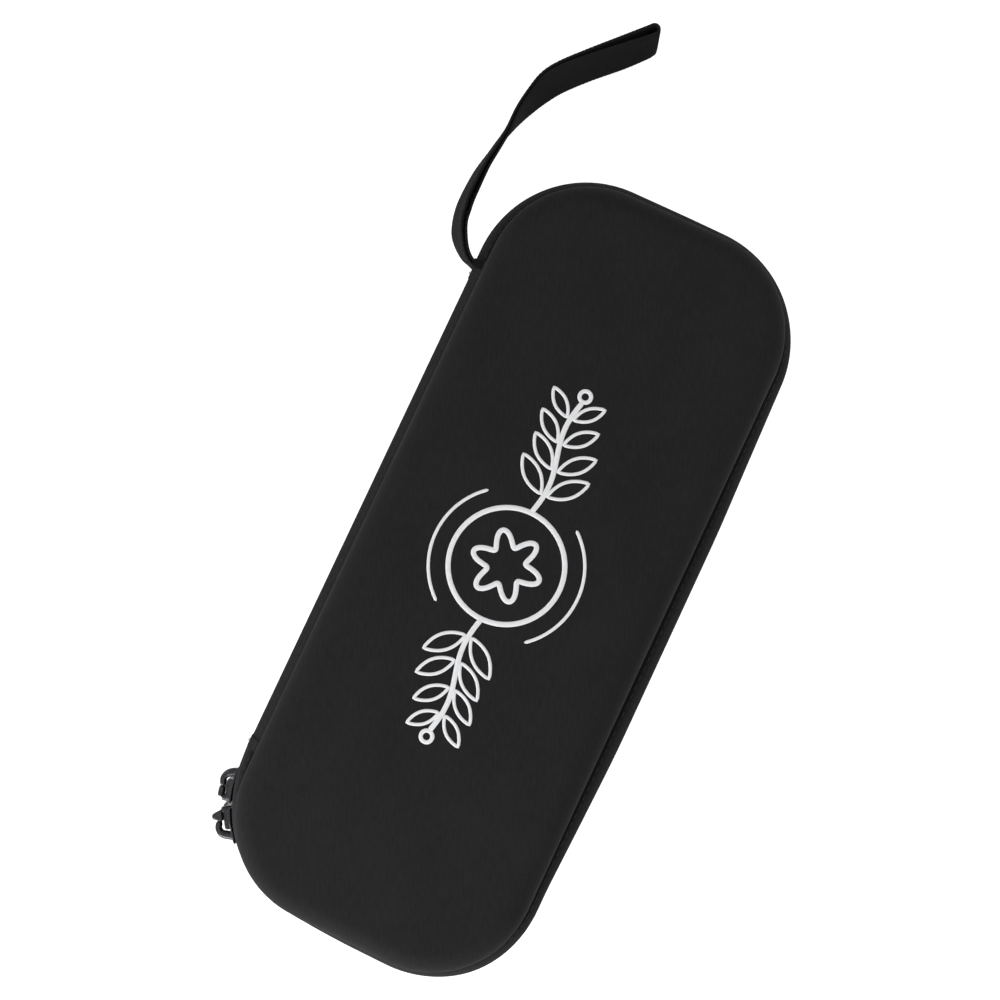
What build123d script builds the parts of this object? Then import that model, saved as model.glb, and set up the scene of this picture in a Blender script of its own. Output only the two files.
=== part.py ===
"""Hard zip-round instrument case, modelled as it is sewn and moulded.

Frame, in millimetres: the origin is the centre of the base's flat bottom, +Z is up, +Y runs
along the case towards the wrist strap, and the fabric hinge is on the -X side.
Cross-sections are drawn as (inset, height): the inset is measured inwards from the zip line's
outline, and the height away from the zip line, upwards in the lid and downwards in the base.
"""

from build123d import *
import os
from math import cos, degrees, radians, sin, tan

# --- Overall sizes -------------------------------------------------------------------------
case_length = 276.0
case_width = 115.0
corner_radius = 40.0
base_depth = 24.0
lid_depth = 24.0
crown_across = 2.0
crown_along = 2.0

# --- Moulded shells ------------------------------------------------------------------------
band_half = 8.0
rim_inset = 4.5
draft_angle = 8.5
edge_radius = 9.0
smallest_radius = 0.6
cover_thickness = 0.8
core_thickness = 3.2
lining_thickness = 0.6
bond_gap = 0.05

# --- Zip, spine and bindings ---------------------------------------------------------------
tape_thickness = 0.7
zip_flat_half = 4.2
chain_gap = 1.2
coil_radius = 0.8
spine_end_margin = 6.0
spine_inset = 0.6
spine_lining_thickness = 0.6
seam_gap = 0.1
tape_end_angle = 45.0
binding_thickness = 0.8
binding_lip = 1.5
binding_height = 3.0

# --- Zip sliders and pulls -----------------------------------------------------------------
slider_length = 12.5
slider_nose_half = 4.0
slider_tail_half = 3.3
slider_plate = 1.0
slider_clearance = 0.3
slider_web_length = 3.0
slider_flange = 0.8
bridge_offset = 3.4
bridge_radius = 0.65
bridge_end_margin = 0.75
bridge_tail_run = 3.6
bridge_bend_radius = 1.2
slider_a_angle = 12.9
slider_b_angle = 33.5
eye_shift = 3.6
eye_clearance = 0.3
eye_wall = 0.8
eye_width = 1.8
pull_length = 22.0
pull_width = 6.0
pull_thickness = 1.2
pull_corner_radius = 2.95
pull_hole_radius = 1.3
pull_hole_margin = 3.2

# --- Wrist strap ---------------------------------------------------------------------------
webbing_width = 15.0
webbing_thickness = 1.3
webbing_spread = 0.3
strap_seam = 3.2
strap_start = 1.7
anchor_depth = 3.3
anchor_height = 14.2
strap_bend_radius = 18.0

# --- Inside fittings -----------------------------------------------------------------------
mesh_thickness = 0.6
mesh_gap = 0.3
mesh_open_end = 70.0
elastic_width = 8.0
elastic_thickness = 1.6
mesh_binding_width = 6.0
mesh_binding_thickness = 0.5
tube_strap_width = 20.0
tube_strap_thickness = 1.2
tube_strap_margin = 1.0
tube_strap_root_length = 8.0
tube_strap_lap = 10.0
fastener_patch_thickness = 0.8
fastener_patch_length = 14.0
fastener_patch_margin = 1.0

lid = 1
base = -1


def wall_inset(depth, height):
    """Inset of the drafted wall's surface that lies `depth` under the outer cover's."""
    return rim_inset + depth + (height - band_half) * tan(radians(draft_angle))


# --- Worked-out places ---------------------------------------------------------------------
zip_height = base_depth
half_length = case_length / 2
half_width = case_width / 2
corner_x = half_width - corner_radius
corner_y = half_length - corner_radius
wall = cover_thickness + core_thickness + lining_thickness + 2 * bond_gap
flange_height = band_half - bond_gap
binding_top = flange_height - tape_thickness - bond_gap
coil_inset = tape_thickness + bond_gap + coil_radius
coil_height = chain_gap / 2 + coil_radius
corner_axis = Axis((-corner_x, -corner_y, zip_height), (0, 0, 1))
spine_half_length = corner_y - spine_end_margin
front_tape_start = spine_half_length + seam_gap
rear_tape_start = spine_half_length + strap_seam / 2
rear_spine_end = spine_half_length - strap_seam / 2
mesh_height = band_half + binding_height + mesh_binding_thickness + mesh_gap
tube_strap_root = half_width - wall_inset(0, base_depth) - edge_radius - tube_strap_margin
tube_strap_low = wall + bond_gap
tube_strap_high = tube_strap_low + tube_strap_thickness + 2 * (fastener_patch_thickness + bond_gap) + bond_gap


def export(piece, name):
    """Label a finished piece and write it to its own STEP file."""
    piece.label = name
    export_step(piece, f"parts/{name}.step")


# --- Moulded shells ------------------------------------------------------------------------


def crowned_block(depth):
    """A block whose top is the lid's gently domed surface, `depth` under the outer one."""
    radius_across = half_width**2 / (2 * crown_across)
    radius_along = half_length**2 / (2 * crown_along)
    top = zip_height + lid_depth
    with BuildPart() as block:
        with BuildSketch(Plane.XZ) as section:
            with Locations((0, top - radius_across)):
                Circle(radius_across - depth)
            with Locations((0, top - half_length / 2)):
                Rectangle(2 * case_width, half_length, mode=Mode.INTERSECT)
        revolve(axis=Axis((0, 0, top - radius_along), (1, 0, 0)), revolution_arc=360)
    return block.part


def moulded_form(side, depth):
    """The solid inside one shell surface, from the rim plane to the closed end."""
    mouth_inset = wall_inset(depth, band_half)
    shell_depth = lid_depth if side == lid else base_depth
    rounding = max(edge_radius - depth, smallest_radius)
    with BuildPart() as form:
        with BuildSketch(Plane.XY.offset(zip_height + band_half)):
            RectangleRounded(
                case_width - 2 * mouth_inset, case_length - 2 * mouth_inset, corner_radius - mouth_inset
            )
        if side == lid:
            extrude(amount=shell_depth - band_half, taper=draft_angle)
            add(crowned_block(depth), mode=Mode.INTERSECT)
        else:
            extrude(amount=shell_depth - band_half - depth, taper=draft_angle)
        fillet(form.faces().sort_by(Axis.Z)[-1].edges(), rounding)
    if side == base:
        return mirror(form.part, about=Plane.XY.offset(zip_height))
    return form.part


def shell(side, outer, inner):
    """One bonded layer of a shell, between two depths under the outer surface."""
    with BuildPart() as layer:
        add(moulded_form(side, outer))
        add(moulded_form(side, inner), mode=Mode.SUBTRACT)
    return layer.part


# --- Things that follow the zip line -------------------------------------------------------


def section_plane(path):
    """The plane across a path's start, with x inwards from the outline and y upwards."""
    along = path % 0
    return Plane(origin=path @ 0, x_dir=Vector(0, 0, 1).cross(along), z_dir=along)


def strip_section(plane, side, points, thickness):
    """A strip of cloth seen in section: its outer line, thickened on the inner side."""
    with BuildSketch(plane) as section:
        with BuildLine():
            Polyline(*[(inset, side * height) for inset, height in points])
            offset(amount=thickness, side=Side.RIGHT if side == lid else Side.LEFT, kind=Kind.INTERSECTION)
        make_face()
    return section.sketch


def corner_arc(start, along, angle):
    """An arc of the outline's corner radius that carries on from a line's end."""
    return JernArc(start, along, corner_radius, angle)


def zip_end_path(end, first_y):
    """The zip line from beside the spine to the rigid stretch: end -1 is the front, 1 the rear."""
    with BuildLine(Plane.XY.offset(zip_height)) as path:
        if end < 0:
            run = Line((-half_width, -first_y), (-half_width, -corner_y))
            corner_arc(run @ 1, run % 1, tape_end_angle)
        else:
            turn = radians(tape_end_angle)
            start = (-corner_x - corner_radius * cos(turn), corner_y + corner_radius * sin(turn))
            bend = corner_arc(start, (-sin(turn), -cos(turn)), tape_end_angle)
            Line(bend @ 1, (-half_width, first_y))
    return path.wires()[0]


def zip_path(start_angle=0):
    """The zip line round the free sides: all of it, or from part of the way into the corners."""
    turn = radians(start_angle)
    start = (-corner_x - corner_radius * cos(turn), -corner_y - corner_radius * sin(turn))
    with BuildLine(Plane.XY.offset(zip_height)) as path:
        if start_angle == 0:
            Line((-half_width, -front_tape_start), start)
        bend = corner_arc(start, (sin(turn), -cos(turn)), 90 - start_angle)
        front = Line(bend @ 1, (corner_x, -half_length))
        bend = corner_arc(front @ 1, front % 1, 90)
        right = Line(bend @ 1, (half_width, corner_y))
        bend = corner_arc(right @ 1, right % 1, 90)
        rear = Line(bend @ 1, (-corner_x, half_length))
        bend = corner_arc(rear @ 1, rear % 1, 90 - start_angle)
        if start_angle == 0:
            Line(bend @ 1, (-half_width, rear_tape_start))
    return path.wires()[0]


def rim_path():
    """The closed outline, starting in the middle of the right side."""
    with BuildLine(Plane.XY.offset(zip_height)) as path:
        right = Line((half_width, 0), (half_width, corner_y))
        bend = corner_arc(right @ 1, right % 1, 90)
        rear = Line(bend @ 1, (-corner_x, half_length))
        bend = corner_arc(rear @ 1, rear % 1, 90)
        left = Line(bend @ 1, (-half_width, -corner_y))
        bend = corner_arc(left @ 1, left % 1, 90)
        front = Line(bend @ 1, (corner_x, -half_length))
        bend = corner_arc(front @ 1, front % 1, 90)
        Line(bend @ 1, (half_width, 0))
    return path.wires()[0]


tape_line = [
    (0, chain_gap / 2),
    (0, zip_flat_half),
    (rim_inset, flange_height),
    (rim_inset + wall, flange_height),
]
binding_line = [
    (rim_inset + binding_lip, binding_top),
    (wall_inset(wall + bond_gap, band_half), binding_top),
    (wall_inset(wall + bond_gap, band_half + binding_height), band_half + binding_height),
]


def zip_tape(side, path):
    """One woven tape of the zip, from the teeth up its slope and in under the shell's rim."""
    with BuildPart() as tape:
        sweep(strip_section(section_plane(path), side, tape_line, tape_thickness), path=path)
    return tape.part


def zip_coil(side, path):
    """One row of the coil, as the round bead that its turns fill, on the tape's inner face."""
    with BuildPart() as coil:
        with BuildSketch(section_plane(path)) as bead:
            with Locations((coil_inset, side * coil_height)):
                Circle(coil_radius)
        sweep(bead.sketch, path=path)
    return coil.part


def binding(side):
    """The bias binding that covers the raw edges inside one shell's mouth."""
    path = rim_path()
    with BuildPart() as ring:
        sweep(strip_section(section_plane(path), side, binding_line, binding_thickness), path=path)
    return ring.part


def spine_layer(depth, thickness, flange_end):
    """A strip of the fabric hinge, from the lid's rim round the back to the base's rim."""
    lid_side = [(flange_end, flange_height), (rim_inset, flange_height), (spine_inset, zip_flat_half)]
    outline = [(inset, -height) for inset, height in lid_side] + lid_side[::-1]
    rear_end = Plane(origin=(-half_width, rear_spine_end, zip_height), x_dir=(1, 0, 0), z_dir=(0, -1, 0))
    with BuildPart() as strip:
        with BuildSketch(rear_end):
            for thick, mode in ((depth + thickness, Mode.ADD), (depth, Mode.SUBTRACT)):
                if thick:
                    with BuildLine():
                        Polyline(*outline)
                        offset(amount=thick, side=Side.RIGHT, kind=Kind.INTERSECTION)
                    make_face(mode=mode)
        extrude(amount=rear_spine_end + spine_half_length)
    return strip.part


# --- Zip sliders and pulls -----------------------------------------------------------------


def corner_plane(angle):
    """The plane across the zip line at an angle into the front left corner, x inwards."""
    turn = radians(angle)
    outward = Vector(-cos(turn), -sin(turn), 0)
    centre = Vector(-corner_x, -corner_y, zip_height)
    return Plane(origin=centre + outward * corner_radius, x_dir=-outward, z_dir=(sin(turn), -cos(turn), 0))


def arc_block(near, far, low, high, start, length):
    """A block that follows the corner: two insets, two heights, and a stretch of zip line."""
    first = degrees(start / corner_radius)
    with BuildSketch(corner_plane(first)) as face:
        with Locations(((near + far) / 2, (low + high) / 2)):
            Rectangle(abs(far - near), high - low)
    revolve(face.sketch, axis=corner_axis, revolution_arc=degrees(length / corner_radius))


def bridge(facing):
    """The arch over a slider, from a long rise at its tail to a short drop at its nose."""
    across = corner_plane(0)
    end = slider_length / 2 - bridge_end_margin
    foot = slider_clearance + slider_plate / 4
    points = [(-end, foot), (-end + bridge_tail_run, bridge_offset), (end, bridge_offset), (end, foot)]
    with BuildLine(Plane(across.origin, x_dir=across.z_dir, z_dir=(0, 0, -1))) as line:
        FilletPolyline(*[(facing * along, out) for along, out in points], radius=bridge_bend_radius)
    with BuildSketch(Plane(origin=line.line @ 0, z_dir=line.line % 0)) as bar:
        Circle(bridge_radius)
    sweep(bar.sketch, path=line.wires()[0])


def slider(angle, facing):
    """A slider whose wide nose faces round the corner (facing 1) or back to the spine (-1)."""
    half = slider_length / 2
    outer = (-slider_clearance - slider_plate, -slider_clearance)
    inner_face = coil_inset + coil_radius + slider_clearance
    inner = (inner_face, inner_face + slider_plate)
    nose_start = 0 if facing > 0 else -half
    tail_start = -half if facing > 0 else 0
    web_start = half - slider_web_length if facing > 0 else -half
    web_half = chain_gap / 2 - slider_clearance
    with BuildPart() as body:
        for near, far in (outer, inner):
            arc_block(near, far, -slider_nose_half, slider_nose_half, nose_start, half)
            arc_block(near, far, -slider_tail_half, slider_tail_half, tail_start, half)
        arc_block(outer[1], inner[0], -web_half, web_half, web_start, slider_web_length)
        for side in (lid, base):
            low, high = sorted((side * (slider_tail_half - slider_flange), side * slider_tail_half))
            arc_block(tape_thickness + slider_clearance, inner[0], low, high, -half, slider_length)
        bridge(facing)
    return body.part.rotate(corner_axis, angle)


def pull(angle, facing):
    """A cast pull: an eye near the nose end of its slider's bridge, and a flat tab that hangs from it."""
    inwards, along = corner_plane(0).x_dir, corner_plane(0).z_dir
    centre = corner_plane(0).origin - inwards * bridge_offset + along * facing * eye_shift
    across = Plane(centre, x_dir=inwards, z_dir=along)
    face = Plane(centre, x_dir=along, z_dir=-inwards)
    eye_radius = bridge_radius + eye_clearance
    with BuildPart() as tab:
        with BuildSketch(across):
            Circle(eye_radius + eye_wall)
        extrude(amount=eye_width / 2, both=True)
        with BuildSketch(face):
            with Locations((0, -pull_length / 2)):
                Rectangle(eye_width, pull_length)
            with Locations((0, -(pull_length + eye_radius + eye_wall) / 2)):
                RectangleRounded(pull_width, pull_length - eye_radius - eye_wall, pull_corner_radius)
            with Locations((0, -pull_length + pull_hole_margin)):
                Circle(pull_hole_radius, mode=Mode.SUBTRACT)
        extrude(amount=pull_thickness / 2, both=True)
        with BuildSketch(across):
            Circle(eye_radius)
        extrude(amount=eye_width / 2, both=True, mode=Mode.SUBTRACT)
    return tab.part.rotate(corner_axis, angle)


# --- Wrist strap ---------------------------------------------------------------------------

strap_root = (-half_width - strap_start, spine_half_length)
strap_route = [
    (-8.6, 7.5),
    (-12.4, 20.0),
    (-13.3, 35.5),
    (-11.8, 52.8),
    (-8.6, 68.5),
    (-3.2, 81.0),
    (5.0, 90.1),
    (14.4, 99.6),
    (23.6, 109.5),
]
strap_middle_heights = [(0, 0), (12, 0), (32, -9.0), (52, -15.5), (66, -16.2), (130, -16.2)]


def wrist_strap_loop():
    """The doubled webbing: upright where it leaves the seam, then sinking to rest on its edge."""
    thickness = 2 * webbing_thickness + webbing_spread
    route = [strap_root] + [(strap_root[0] + x, strap_root[1] + y) for x, y in strap_route]
    middles = [(strap_root[1] + y, zip_height + z) for y, z in strap_middle_heights]
    with BuildPart() as strap:
        with BuildSketch():
            with BuildLine():
                FilletPolyline(*route, radius=strap_bend_radius)
                offset(amount=thickness / 2, side=Side.BOTH)
            make_face()
        extrude(amount=zip_height + webbing_width)
        with BuildSketch(Plane.YZ):
            with BuildLine():
                first, last = middles[0], middles[-1]
                tops = [(y, z + webbing_width / 2) for y, z in middles]
                bottoms = [(y, z - webbing_width / 2) for y, z in reversed(middles)]
                Polyline(
                    (first[0] - thickness, tops[0][1]), *tops, *bottoms,
                    (first[0] - thickness, bottoms[-1][1]), close=True,
                )
            make_face()
        extrude(amount=case_width, both=True, mode=Mode.INTERSECT)
    return strap.part


def strap_anchor_tab():
    """The sewn end of the webbing, held in the seam between the spine and the zip's end."""
    thickness = 2 * webbing_thickness
    with BuildPart() as tab:
        with BuildSketch(Plane.XY.offset(zip_height)):
            with Locations((-half_width + seam_gap + anchor_depth / 2, spine_half_length)):
                Rectangle(anchor_depth, thickness)
        extrude(amount=anchor_height / 2, both=True)
    return tab.part


# --- Inside fittings -----------------------------------------------------------------------


def pocket_outline(height, clearance, open_end):
    """The pocket's plan at a height in the lid, cut straight at its open end."""
    inset = wall_inset(wall + clearance, mesh_height)
    with BuildSketch(Plane.XY.offset(zip_height + height)) as outline:
        RectangleRounded(case_width - 2 * inset, case_length - 2 * inset, corner_radius - inset)
        with Locations((0, open_end + case_length / 2)):
            Rectangle(case_width, case_length, mode=Mode.SUBTRACT)
    return outline.sketch


def mesh_panel():
    """The pocket's net, stretched across the lid from its front end."""
    with BuildPart() as panel:
        extrude(pocket_outline(mesh_height, mesh_gap, mesh_open_end), amount=mesh_thickness)
    return panel.part


def mesh_elastic():
    """The elastic that gathers the pocket's open edge."""
    inset = wall_inset(wall + mesh_gap, mesh_height + elastic_thickness)
    with BuildPart() as band:
        with BuildSketch(Plane.XY.offset(zip_height + mesh_height)):
            with Locations((0, mesh_open_end + seam_gap + elastic_width / 2)):
                Rectangle(case_width - 2 * inset, elastic_width)
        extrude(amount=elastic_thickness)
    return band.part


def mesh_binding():
    """The tape that sews the net's three closed sides to the lid's lining."""
    bottom = mesh_height - bond_gap - mesh_binding_thickness
    inner_clearance = mesh_gap + mesh_binding_width
    with BuildPart() as tape:
        extrude(pocket_outline(bottom, mesh_gap, mesh_open_end), amount=mesh_binding_thickness)
        inside = pocket_outline(bottom, inner_clearance, mesh_open_end + seam_gap)
        extrude(inside, amount=mesh_binding_thickness, mode=Mode.SUBTRACT)
    return tape.part


def tube_strap_lower():
    """The left half of the strap that holds tubing down, lying flat on the base's lining."""
    length = tube_strap_root + tube_strap_lap
    with BuildPart() as half:
        with BuildSketch(Plane.XY.offset(tube_strap_low)):
            with Locations((-tube_strap_root + length / 2, 0)):
                Rectangle(length, tube_strap_width)
        extrude(amount=tube_strap_thickness)
    return half.part


def tube_strap_upper():
    """The right half, which rises from its sewn root and laps over the left half."""
    with BuildPart() as half:
        with BuildSketch(Plane.XZ):
            with BuildLine():
                Polyline(
                    (tube_strap_root, tube_strap_low),
                    (tube_strap_root - tube_strap_root_length, tube_strap_low),
                    (tube_strap_lap + tube_strap_root_length, tube_strap_high),
                    (-tube_strap_lap, tube_strap_high),
                )
                offset(amount=tube_strap_thickness, side=Side.RIGHT, kind=Kind.INTERSECTION)
            make_face()
        extrude(amount=tube_strap_width / 2, both=True)
    return half.part


def fastener_patch(level):
    """A hook or loop patch between the tube strap's halves: level 0 is sewn to the lower one."""
    bottom = tube_strap_low + tube_strap_thickness + bond_gap
    step = fastener_patch_thickness + bond_gap
    with BuildPart() as patch:
        with BuildSketch(Plane.XY.offset(bottom + level * step)):
            Rectangle(fastener_patch_length, tube_strap_width - 2 * fastener_patch_margin)
        extrude(amount=fastener_patch_thickness)
    return patch.part


# --- The pieces ----------------------------------------------------------------------------

os.makedirs("parts", exist_ok=True)

cover_inside = cover_thickness
core_outside = cover_inside + bond_gap
core_inside = core_outside + core_thickness
lining_outside = core_inside + bond_gap

for half_name, side in (("base", base), ("lid", lid)):
    export(shell(side, 0, cover_inside), f"{half_name}_cover")
    export(shell(side, core_outside, core_inside), f"{half_name}_core")
    export(shell(side, lining_outside, wall), f"{half_name}_lining")
    export(binding(side), f"{half_name}_binding")

export(zip_tape(base, zip_path()), "zip_tape_base")
export(zip_coil(base, zip_path()), "zip_coil_base")
export(zip_tape(lid, zip_path(tape_end_angle)), "zip_tape_lid")
export(zip_coil(lid, zip_path(tape_end_angle)), "zip_coil_lid")
for end_name, end, first_y in (("front", -1, front_tape_start), ("rear", 1, rear_tape_start)):
    export(zip_tape(lid, zip_end_path(end, first_y)), f"zip_tape_lid_{end_name}")
    export(zip_coil(lid, zip_end_path(end, first_y)), f"zip_coil_lid_{end_name}")

spine_lining_depth = tape_thickness + bond_gap
lining_flange_end = rim_inset + binding_lip - seam_gap
export(spine_layer(0, tape_thickness, rim_inset + wall), "spine_strip")
export(spine_layer(spine_lining_depth, spine_lining_thickness, lining_flange_end), "spine_lining")

for letter, angle, facing in (("a", slider_a_angle, 1), ("b", slider_b_angle, -1)):
    export(slider(angle, facing), f"slider_{letter}_body")
    export(pull(angle, facing), f"slider_{letter}_pull")

export(wrist_strap_loop(), "wrist_strap")
export(strap_anchor_tab(), "strap_anchor")

export(mesh_panel(), "mesh_pocket_panel")
export(mesh_elastic(), "mesh_pocket_elastic")
export(mesh_binding(), "mesh_pocket_binding")

export(tube_strap_lower(), "tube_strap_left")
export(tube_strap_upper(), "tube_strap_right")
export(fastener_patch(0), "tube_strap_loop_patch")
export(fastener_patch(1), "tube_strap_hook_patch")
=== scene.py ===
"""The looks of a hard zip-round instrument case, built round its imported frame.

Sizes are millimetres in the frame's axes: the case stands on z = 0, its zip line lies at
ZIP_HEIGHT, +Y runs towards the wrist strap and the cloth hinge is on the -X side. A place on
the band is given by how far round the zip line it is, how far in from it (inset) and how far
above it (height, below it in the base).
"""

import logging
import math
from collections.abc import Callable, Sequence
from dataclasses import dataclass
from enum import Enum

import bmesh
import bpy
import numpy as np
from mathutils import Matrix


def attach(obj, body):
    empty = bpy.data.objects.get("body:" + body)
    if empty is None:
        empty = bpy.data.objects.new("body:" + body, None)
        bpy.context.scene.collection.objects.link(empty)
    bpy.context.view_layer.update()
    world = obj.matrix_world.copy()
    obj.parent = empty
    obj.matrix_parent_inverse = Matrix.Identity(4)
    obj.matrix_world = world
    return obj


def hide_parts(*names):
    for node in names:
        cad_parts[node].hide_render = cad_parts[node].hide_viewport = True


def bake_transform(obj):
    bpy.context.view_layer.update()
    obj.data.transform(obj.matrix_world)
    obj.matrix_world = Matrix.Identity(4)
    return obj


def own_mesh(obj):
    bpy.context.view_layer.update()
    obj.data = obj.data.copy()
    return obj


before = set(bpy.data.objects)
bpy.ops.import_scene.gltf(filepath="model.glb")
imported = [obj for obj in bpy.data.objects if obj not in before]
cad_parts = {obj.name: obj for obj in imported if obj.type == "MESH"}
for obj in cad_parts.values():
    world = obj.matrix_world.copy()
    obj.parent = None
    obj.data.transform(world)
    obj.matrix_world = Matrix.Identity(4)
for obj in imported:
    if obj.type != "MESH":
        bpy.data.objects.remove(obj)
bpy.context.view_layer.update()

log = logging.getLogger("case")
Array = np.ndarray
Pair = tuple[float, float]
Triple = tuple[float, float, float]
Colour = Triple
Socket = bpy.types.NodeSocket
Piece = bpy.types.Object
MM = 0.001
ZIP_HEIGHT = 24.0
THREAD_RADIUS = 0.17
STITCH_RISE = 0.05


class Side(Enum):
    """A half of the case; the value is its direction from the zip line."""

    LID = 1
    BASE = -1


class Space(Enum):
    """What a pattern is laid out on: the cloth itself, or the space round the piece."""

    CLOTH = "UV"
    SPACE = "Object"


# --- Surfaces ------------------------------------------------------------------------------


@dataclass
class Shape:
    """One surface of quads: points in millimetres, corner indices, corner UVs and finish."""

    points: Array
    faces: Array
    uvs: Array
    finish: int = 0


def travelled(line: Array, closed: bool = False) -> Array:
    """Distance along a line of points, the running sum of its steps' lengths.

    Args:
        line: The points.
        closed: Give the distance once more, at the line's closing.

    Returns:
        One distance for each point, from 0.
    """
    line = np.concatenate([line, line[:1]]) if closed else line
    return np.concatenate([[0.0], np.cumsum(np.linalg.norm(np.diff(line, axis=0), axis=1))])


def unit(vectors: Array) -> Array:
    """The vectors, each drawn to length 1."""
    return vectors / np.linalg.norm(vectors, axis=-1, keepdims=True)


def directions(line: Array) -> Array:
    """Unit directions along a line of points, from its central differences."""
    return unit(np.gradient(line, axis=0))


def round_angles(count: int) -> Array:
    """Angles evenly spaced round a circle, from 0."""
    return np.linspace(0, 2 * np.pi, count, endpoint=False)


def heading(angle: Array) -> Array:
    """Unit vectors in the plane at angles."""
    return np.stack([np.cos(angle), np.sin(angle)], axis=-1)


def oval(count: int, half: Pair, power: Pair) -> tuple[Array, Array]:
    """A rounded bar's section: a cos^p and b sin^q round a circle, each with its sign kept.

    Args:
        count: Points round it.
        half: a and b, its half sizes.
        power: p and q; the smaller, the squarer.

    Returns:
        Its places across and over.
    """
    waves = heading(round_angles(count)).T
    return tuple(size * np.sign(wave) * np.abs(wave) ** p for size, wave, p in zip(half, waves, power))


def eased(points: Sequence[Sequence[float]], radius: float, steps: int = 7) -> Array:
    """Round the corners of a line through points.

    Each corner b becomes the curve (1-t)^2 a + 2 t (1-t) b + t^2 c, where a and c lie
    `radius` before and after it, or halfway to its neighbours where that is nearer.

    Args:
        points: Corners of the line, in two or three dimensions.
        radius: How far from each corner its curve starts.
        steps: Points on each curve.

    Returns:
        The rounded line's points.
    """
    corners = np.asarray(points, float)
    middle = corners[1:-1]
    ends = []
    for neighbour in (corners[:-2], corners[2:]):
        away = neighbour - middle
        length = np.linalg.norm(away, axis=1, keepdims=True)
        ends.append((middle + away / length * np.minimum(radius, length / 2))[:, None])
    t = np.linspace(0, 1, steps)[None, :, None]
    bends = (1 - t) ** 2 * ends[0] + 2 * t * (1 - t) * middle[:, None] + t**2 * ends[1]
    return np.concatenate([corners[:1], bends.reshape(-1, corners.shape[1]), corners[-1:]])


def evenly(line: Array, count: int) -> Array:
    """A line at `count` places evenly spaced along its first three columns."""
    at = travelled(line[:, :3])
    return np.stack([np.interp(np.linspace(0, at[-1], count), at, column) for column in line.T], axis=1)


def smooth_line(points: Sequence[Sequence[float]], count: int) -> Array:
    """A smooth line through rows of values, evenly spaced along its first three columns.

    Between rows p1 and p2 it is the cubic whose end slopes are (p2-p0)/2 and (p3-p1)/2.

    Args:
        points: Rows of x, y, z and any further values that change along the line.
        count: Points wanted.

    Returns:
        An array of `count` rows.
    """
    rows = np.asarray(points, float)
    padded = np.concatenate([2 * rows[:1] - rows[1:2], rows, 2 * rows[-1:] - rows[-2:-1]])
    t = np.linspace(0, 1, 24, endpoint=False)[None, :, None]
    p0, p1, p2, p3 = (padded[i : len(padded) - 3 + i, None] for i in range(4))
    m1, m2 = (p2 - p0) / 2, (p3 - p1) / 2
    cubic = (
        (2 * t**3 - 3 * t**2 + 1) * p1 + (t**3 - 2 * t**2 + t) * m1
        + (3 * t**2 - 2 * t**3) * p2 + (t**3 - t**2) * m2
    )
    return evenly(np.concatenate([cubic.reshape(-1, rows.shape[1]), rows[-1:]]), count)


def cloth_uv(along: Array, across: Array) -> Array:
    """A grid of (along, across) pairs, in millimetres of cloth."""
    return np.stack(np.meshgrid(along, across, indexing="ij"), axis=-1)


def skin(grid: Array, uv: Array, wrap_rows: bool = False, wrap_columns: bool = False) -> Shape:
    """Cover a grid of points with quads, facing outwards.

    Face (i, j) joins points (i, j), (i+1, j), (i+1, j+1) and (i, j+1), counted round where the
    grid wraps. If the volume that the faces enclose comes out negative they are turned over.

    Args:
        grid: Points, rows x columns x 3.
        uv: Cloth places, with one more row or column where the grid wraps.
        wrap_rows: The last row joins the first.
        wrap_columns: The last column joins the first.

    Returns:
        The surface.
    """
    rows, columns = grid.shape[:2]
    spans = np.arange(rows - (not wrap_rows)), np.arange(columns - (not wrap_columns))
    i, j = (index.ravel() for index in np.meshgrid(*spans, indexing="ij"))
    corners = [(i, j), (i + 1, j), (i + 1, j + 1), (i, j + 1)]
    faces = np.stack([(a % rows) * columns + b % columns for a, b in corners], axis=1)
    uvs = np.stack([uv[a, b] for a, b in corners], axis=1)
    points = grid.reshape(-1, 3)
    a, b, c, d = (points[faces[:, k]] for k in range(4))
    if np.sum(np.cross(b - a, c - a) * (a + b + c) + np.cross(c - a, d - a) * (a + c + d)) < 0:
        faces, uvs = faces[:, ::-1], uvs[:, ::-1]
    return Shape(points, faces, uvs)


def carried(grid: Array, along: Array, around: Array) -> Shape:
    """Cover a closed section carried along an open path, with a flat cap at each end.

    Each cap is the end section drawn in to its own middle point.

    Args:
        grid: Points, one row for each place on the path, its columns round the section.
        along: Distance along the path at each row.
        around: Distance round the section at each column, and once more at its closing.

    Returns:
        The closed surface.
    """
    first, last = (np.broadcast_to(end.mean(axis=0), end.shape)[None] for end in (grid[0], grid[-1]))
    uv = cloth_uv(np.concatenate([along[:1], along, along[-1:]]), around)
    return skin(np.concatenate([first, grid, last]), uv, wrap_columns=True)


def tube(line: Array, radius: float | Array, sides: int, reference: Array | None = None) -> Shape:
    """Carry a round section along a line.

    The ring at each point is r (cos a N + sin a B), where N is the part of the reference
    direction square to the line and B completes the frame.

    Args:
        line: Points of the middle line.
        radius: One radius, or one for each point.
        sides: Points on each ring.
        reference: Directions off the line; straight up where none are given.

    Returns:
        The closed tube.
    """
    along = directions(line)
    upright = np.broadcast_to([0.0, 0.0, 1.0], line.shape) if reference is None else reference
    normal = unit(upright - np.sum(upright * along, axis=1, keepdims=True) * along)
    across, over = (part[None, :, None] for part in heading(round_angles(sides)).T)
    ring = across * normal[:, None] + over * np.cross(along, normal)[:, None]
    size = np.broadcast_to(radius, len(line))[:, None, None]
    around = np.linspace(0, 2 * np.pi * float(np.max(radius)), sides + 1)
    return carried(line[:, None] + size * ring, travelled(line), around)


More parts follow.
